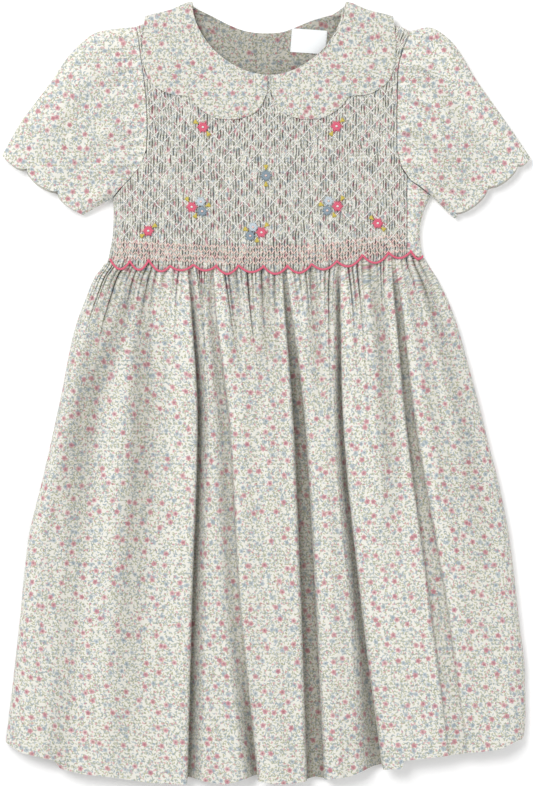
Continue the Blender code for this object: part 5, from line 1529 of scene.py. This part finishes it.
@dataclass
class Collar:
    """Scalloped collar half, rolled over the shoulder."""

    form: BodyForm
    side: int
    centre: float = 0.0024
    wall: float = 0.0013
    # Even painted shade over the collar half.
    painted_shade_level: float = 0.22
    fold_reach: float = 0.0095
    rows_front: int = 90
    rows_back: int = 40
    columns: int = 26
    front_edge: tuple[CollarRow, ...] = (
        CollarRow(0.00, 0.0004, 0.2530), CollarRow(0.05, -0.0051, 0.2402), CollarRow(0.12, -0.0147, 0.2338),
        CollarRow(0.20, -0.0276, 0.2306), CollarRow(0.28, -0.0389, 0.2310), CollarRow(0.36, -0.0501, 0.2354),
        CollarRow(0.43, -0.0598, 0.2430), CollarRow(0.48, -0.0655, 0.2500), CollarRow(0.55, -0.0792, 0.2515),
        CollarRow(0.63, -0.0905, 0.2564), CollarRow(0.72, -0.1002, 0.2661), CollarRow(0.84, -0.1048, 0.2884),
        CollarRow(1.00, -0.1025, 0.3182),
    )
    back_edge: tuple[CollarRow, ...] = (
        CollarRow(0.00, -0.0030, 0.2720), CollarRow(0.06, -0.0070, 0.2620), CollarRow(0.16, -0.0210, 0.2555),
        CollarRow(0.28, -0.0390, 0.2545), CollarRow(0.40, -0.0530, 0.2575), CollarRow(0.47, -0.0620, 0.2610),
        CollarRow(0.56, -0.0760, 0.2600), CollarRow(0.66, -0.0890, 0.2650), CollarRow(0.76, -0.0985, 0.2750),
        CollarRow(0.88, -0.1030, 0.2940), CollarRow(1.00, -0.1025, 0.3182),
    )

    def edges(self, chart: tuple[CollarRow, ...], count: int, front: bool) -> tuple[Array, Array]:
        """Inner and outer edge of the left half, from its centre to the shoulder fold."""
        form = self.form
        q = 1.0 - np.linspace(0.0, 1.0, count)
        share = 1.0 - (0.45 * q + 0.55 * q * q)
        if front:
            angle = lerp(0.5 * math.pi, 0.0, share)
            power = 2.0 / form.front_neck_round
            x = form.neck_centre - (form.neck_half_width - 0.0006) * np.cos(angle) ** power
            y = form.neck_top - (form.front_neck_depth - 0.0004) * np.sin(angle) ** power
        else:
            x = form.neck_centre - 0.0016 - (form.neck_half_width - 0.0022) * share
            y = form.neck_back(x) + 0.0004
        keys = [row.share for row in chart]
        outer = [Curve(keys, [getattr(row, part) for row in chart]).at(share) for part in ("x", "y")]
        return np.stack([x, y], axis=-1), np.stack(outer, axis=-1)

    def make(self, name: str, finish: bpy.types.Material) -> bpy.types.Object:
        """Build the collar half with its rounded, turned edge."""
        form = self.form
        high = form.bodice_height + form.pleat_rise + form.seam_gap + self.wall
        middle = 0.5 * high
        widths = np.linspace(0.0, 1.0, self.columns) ** 0.8
        layers = []
        for chart, count, front in ((self.front_edge, self.rows_front, True),
                                    (self.back_edge, self.rows_back, False)):
            inner, outer = self.edges(chart, count, front)
            place = lerp(inner[:, None, :], outer[:, None, :], widths[None, :, None])
            x, y = place[..., 0], place[..., 1]
            shoulder = roll(form.height(form.collar_fold, x) - y, self.fold_reach)
            flat = high if front else 0.0
            z = lerp(middle, flat, shoulder)
            if front:
                y = np.array(y)
                y[-1] = form.height(form.collar_fold, x[-1])
                z = np.array(z)
                z[-1] = middle
                ripple = uneven(41 + self.side, count, self.columns, 16.0, 8.0)
                z = z - 0.0003 * (0.5 + 0.5 * ripple) * shoulder
                from_edge = np.linalg.norm(place - outer[:, None, :], axis=-1)
                z = z - 0.00045 * (1.0 - roll(from_edge, 0.0016)) * shoulder
                z = z - 0.00022 * np.exp(-((from_edge - 0.0027) / 0.0006) ** 2) * shoulder
            layers.append(np.stack([x, y, z], axis=-1))
        points = np.concatenate([layers[0], layers[1][::-1][1:]], axis=0)
        cloth = np.array(points)
        # Painted shade, even over the whole collar half.
        cloth[..., 2] = self.painted_shade_level
        cloth[self.rows_front:, :, 1] = 0.66 - cloth[self.rows_front:, :, 1]
        if self.side > 0:
            points[..., 0] = 2.0 * self.centre - points[..., 0]
            cloth[..., 0] = 2.0 * self.centre - cloth[..., 0] + 0.05
        shell = Shell()
        shell.grid(points, cloth, flip=self.side < 0)
        return shell.make(name, finish, self.wall)


@dataclass
class RestingPiece:
    """A cloth piece that follows its CAD solid closely: the backs of the dress."""

    node: str
    name: str
    # Strength of the painted shade inside the back neck.
    inside_shade: float = 0.9
    neck_foot: float = 0.2400
    neck_reach: float = 0.0900
    rounds: int = 1

    def make(self, frame: dict, finish: bpy.types.Material) -> bpy.types.Object:
        """Build the piece from a merged and smoothed copy of its solid.

        Args:
            frame: The loaded frame.
            finish: Its cloth.

        Returns:
            The piece.
        """
        mesh = frame["nodes"][self.node].data.copy()
        mesh.name = self.name
        piece = bpy.data.objects.new(self.name, mesh)
        bpy.context.collection.objects.link(piece)
        merge_points(mesh)
        shape = bmesh.new()
        shape.from_mesh(mesh)
        bmesh.ops.join_triangles(shape, faces=shape.faces, angle_face_threshold=0.7, angle_shape_threshold=1.2)
        crease = shape.edges.layers.float.new("crease_edge")
        for edge in shape.edges:
            if len(edge.link_faces) == 2 and edge.calc_face_angle(0.0) > math.radians(50.0):
                edge[crease] = 0.8
        shape.to_mesh(mesh)
        shape.free()
        finer = piece.modifiers.new("finer", "SUBSURF")
        finer.levels = finer.render_levels = self.rounds
        bake_modifiers(piece)
        mesh = piece.data
        places = np.empty(len(mesh.vertices) * 3)
        mesh.vertices.foreach_get("co", places)
        cloth = places.reshape(-1, 3).copy()
        # Painted shade on the upper face of the back pieces near the neck, seen through the neck opening.
        in_neck = (cloth[:, 1] > self.neck_foot) & (np.abs(cloth[:, 0]) < self.neck_reach)
        cloth[:, 2] = np.where((cloth[:, 2] > 0.0006) & in_neck, self.inside_shade, 0.0)
        made = mesh.attributes.new("cloth", "FLOAT_VECTOR", "POINT")
        made.data.foreach_set("vector", cloth.astype(np.float32).ravel())
        mesh.materials.clear()
        mesh.materials.append(finish)
        mesh.set_sharp_from_angle(angle=math.radians(50.0))
        return piece


@dataclass
class Label:
    """Bare woven label, slightly bowed, inside the back neck."""

    width: float = 0.0300
    depth: float = 0.0200
    wall: float = 0.0006
    centre: tuple[float, float] = (0.0360, 0.2975)
    turn: float = math.radians(-4.0)
    level: float = 0.0030

    def make(self, finish: bpy.types.Material) -> bpy.types.Object:
        """Build the label."""
        u, v = np.meshgrid(np.linspace(-0.5, 0.5, 25), np.linspace(-0.5, 0.5, 17))
        x, y = u * self.width, v * self.depth
        bow = 0.0004 * np.cos(math.pi * u) * np.cos(math.pi * v)
        points = np.stack([self.centre[0] + x * math.cos(self.turn) - y * math.sin(self.turn),
                           self.centre[1] + x * math.sin(self.turn) + y * math.cos(self.turn),
                           self.level + self.wall + bow], axis=-1)
        shell = Shell()
        shell.grid(points, np.stack([x, y, 0.0 * x], axis=-1))
        return shell.make("bare_label", finish, self.wall)

    def stitches(self, stitcher: Stitcher, finish: bpy.types.Material) -> bpy.types.Object:
        """Small stitches that hold the label's short ends."""
        made = []
        for end in (-1.0, 1.0):
            for i in range(8):
                x, y = end * (0.5 * self.width - 0.0008), (i - 3.5) / 8.0 * self.depth
                place = (self.centre[0] + x * math.cos(self.turn) - y * math.sin(self.turn),
                         self.centre[1] + x * math.sin(self.turn) + y * math.cos(self.turn),
                         self.level + self.wall + 0.0001)
                made.append(Stitch(place, (-math.sin(self.turn), math.cos(self.turn), 0.0), 0.0018, 0.0004))
        return stitcher.lay("label_stitches", made, finish)


@dataclass
class Stage:
    """Pale floor, soft light and the camera straight above the dress."""

    camera_height: float = 2.60
    aim_level: float = 0.0170
    seen_height: float = 0.6624
    centre: tuple[float, float] = (0.0002, -0.0004)
    floor_reach: float = 3.0
    floor_level: float = -0.0003
    floor_glow: float = 0.12
    sky_strength: float = 0.47

    def make(self, finish: bpy.types.Material) -> None:
        """Build the stage."""
        mesh = bpy.data.meshes.new("floor")
        corners = ((-1, -1), (1, -1), (1, 1), (-1, 1))
        reach = self.floor_reach
        mesh.from_pydata([(reach * x, reach * y, self.floor_level) for x, y in corners], [], [(0, 1, 2, 3)])
        mesh.materials.append(finish)
        floor = bpy.data.objects.new("floor", mesh)
        bpy.context.collection.objects.link(floor)
        shader = finish.node_tree.nodes["Principled BSDF"]
        shader.inputs["Emission Color"].default_value = (1.0, 1.0, 1.0, 1.0)
        shader.inputs["Emission Strength"].default_value = self.floor_glow
        self.camera()
        self.light("key", (-1.1, 1.2, 2.3), 1.4, 53.0)
        self.light("fill", (1.2, -0.5, 2.2), 2.0, 17.5)
        world = bpy.data.worlds.new("studio")
        world.use_nodes = True
        sky = world.node_tree.nodes["Background"]
        sky.inputs["Color"].default_value = (1.0, 1.0, 1.0, 1.0)
        sky.inputs["Strength"].default_value = self.sky_strength
        bpy.context.scene.world = world

    def camera(self) -> None:
        """Look straight down, with the neck at the top of the picture."""
        lens = bpy.data.cameras.new("camera")
        lens.sensor_fit = "VERTICAL"
        lens.angle = 2.0 * math.atan(0.5 * self.seen_height / (self.camera_height - self.aim_level))
        camera = bpy.data.objects.new("camera", lens)
        camera.location = (*self.centre, self.camera_height)
        bpy.context.collection.objects.link(camera)
        bpy.context.scene.camera = camera

    def light(self, name: str, place: tuple[float, float, float], size: float, power: float) -> None:
        """Add a soft square light that faces the dress."""
        lamp = bpy.data.lights.new(name, "AREA")
        lamp.size = size
        lamp.energy = power
        holder = bpy.data.objects.new(name, lamp)
        holder.location = place
        holder.rotation_euler = Vector(place).to_track_quat("Z", "Y").to_euler()
        bpy.context.collection.objects.link(holder)


@dataclass
class Dress:
    """The whole dress: its pieces, and how each one is attached."""

    frame: dict
    form: BodyForm = field(default_factory=BodyForm)

    def declare(self, piece: bpy.types.Object, node: str | None = None) -> None:
        """Ride a piece on the dress, hide the part it stands for if given, and log its triangles and area."""
        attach(piece, "root")
        if node is not None:
            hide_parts(node)
        piece.data.calc_loop_triangles()
        area = sum(p.area for p in piece.data.polygons)
        LOG.info("%s: %d triangles, %.4f square metres", piece.name, len(piece.data.loop_triangles), area)

    def build(self) -> None:
        """Build every piece in order."""
        finishes = Finishes()
        stitcher = Stitcher()
        front = SmockedFront(self.form)
        smocked = front.make(finishes.smocked)
        self.declare(smocked, "bodice_front")
        skirt = SkirtFront(self.form).make(finishes.cotton)
        self.declare(skirt, "skirt_front")
        for piece in (front.trellis(stitcher, finishes.white), front.waves(stitcher, finishes.blush),
                      WaistCord(self.form, front).make(stitcher, finishes.rose),
                      *Embroidery(front).make(stitcher, finishes)):
            self.declare(piece)
        self.sleeves(finishes)
        for side, name in ((-1, "collar_left"), (1, "collar_right")):
            collar = Collar(self.form, side).make(f"{name}_cloth", finishes.cotton)
            self.declare(collar, name)
        backs = (("bodice_back_left", 0.28, 0.20, 0.026), ("bodice_back_right", 0.28, 0.20, 0.028),
                 ("skirt_back", 0.46, 0.45, 0.165))
        for node, width, length, area in backs:
            piece = RestingPiece(node, f"{node}_cloth").make(self.frame, finishes.cotton)
            self.declare(piece, node)
        label = Label()
        tape = label.make(finishes.label)
        self.declare(tape, "neck_label")
        self.declare(label.stitches(stitcher, finishes.white))
        for number in (1, 2, 3):
            node = self.frame["nodes"][f"back_button_{number}"]
            node.data.materials.clear()
            node.data.materials.append(finishes.pearl)

    def sleeves(self, finishes: Finishes) -> None:
        """Build both sleeves."""
        left = Sleeve(self.form, -1, (Place(-0.1400, 0.3061), Place(-0.1627, 0.2901), Place(-0.1846, 0.2597),
                                      Place(-0.2073, 0.2294), Place(-0.2236, 0.2010)),
                      Place(-0.1550, 0.1505), (0.28, 0.66))
        right = Sleeve(self.form, 1, (Place(0.1370, 0.3092), Place(0.1547, 0.2993), Place(0.1800, 0.2614),
                                      Place(0.2030, 0.2290), Place(0.2238, 0.1985)),
                       Place(0.1590, 0.1475), (0.14, 0.53, 0.96))
        for sleeve, name in ((left, "sleeve_left"), (right, "sleeve_right")):
            piece = sleeve.make(f"{name}_cloth", finishes.cotton)
            self.declare(piece, name)


def main() -> None:
    """Load the frame, build the dress and its stage, and set the view transform."""
    logging.basicConfig(level=logging.INFO, format="%(message)s")
    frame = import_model()
    Dress(frame).build()
    Stage().make(PlainFinish("pale_floor", (0.93, 0.93, 0.93), 0.9, 0.1000).make())
    bpy.context.scene.view_settings.view_transform = "Standard"


if __name__ == "__main__":
    main()
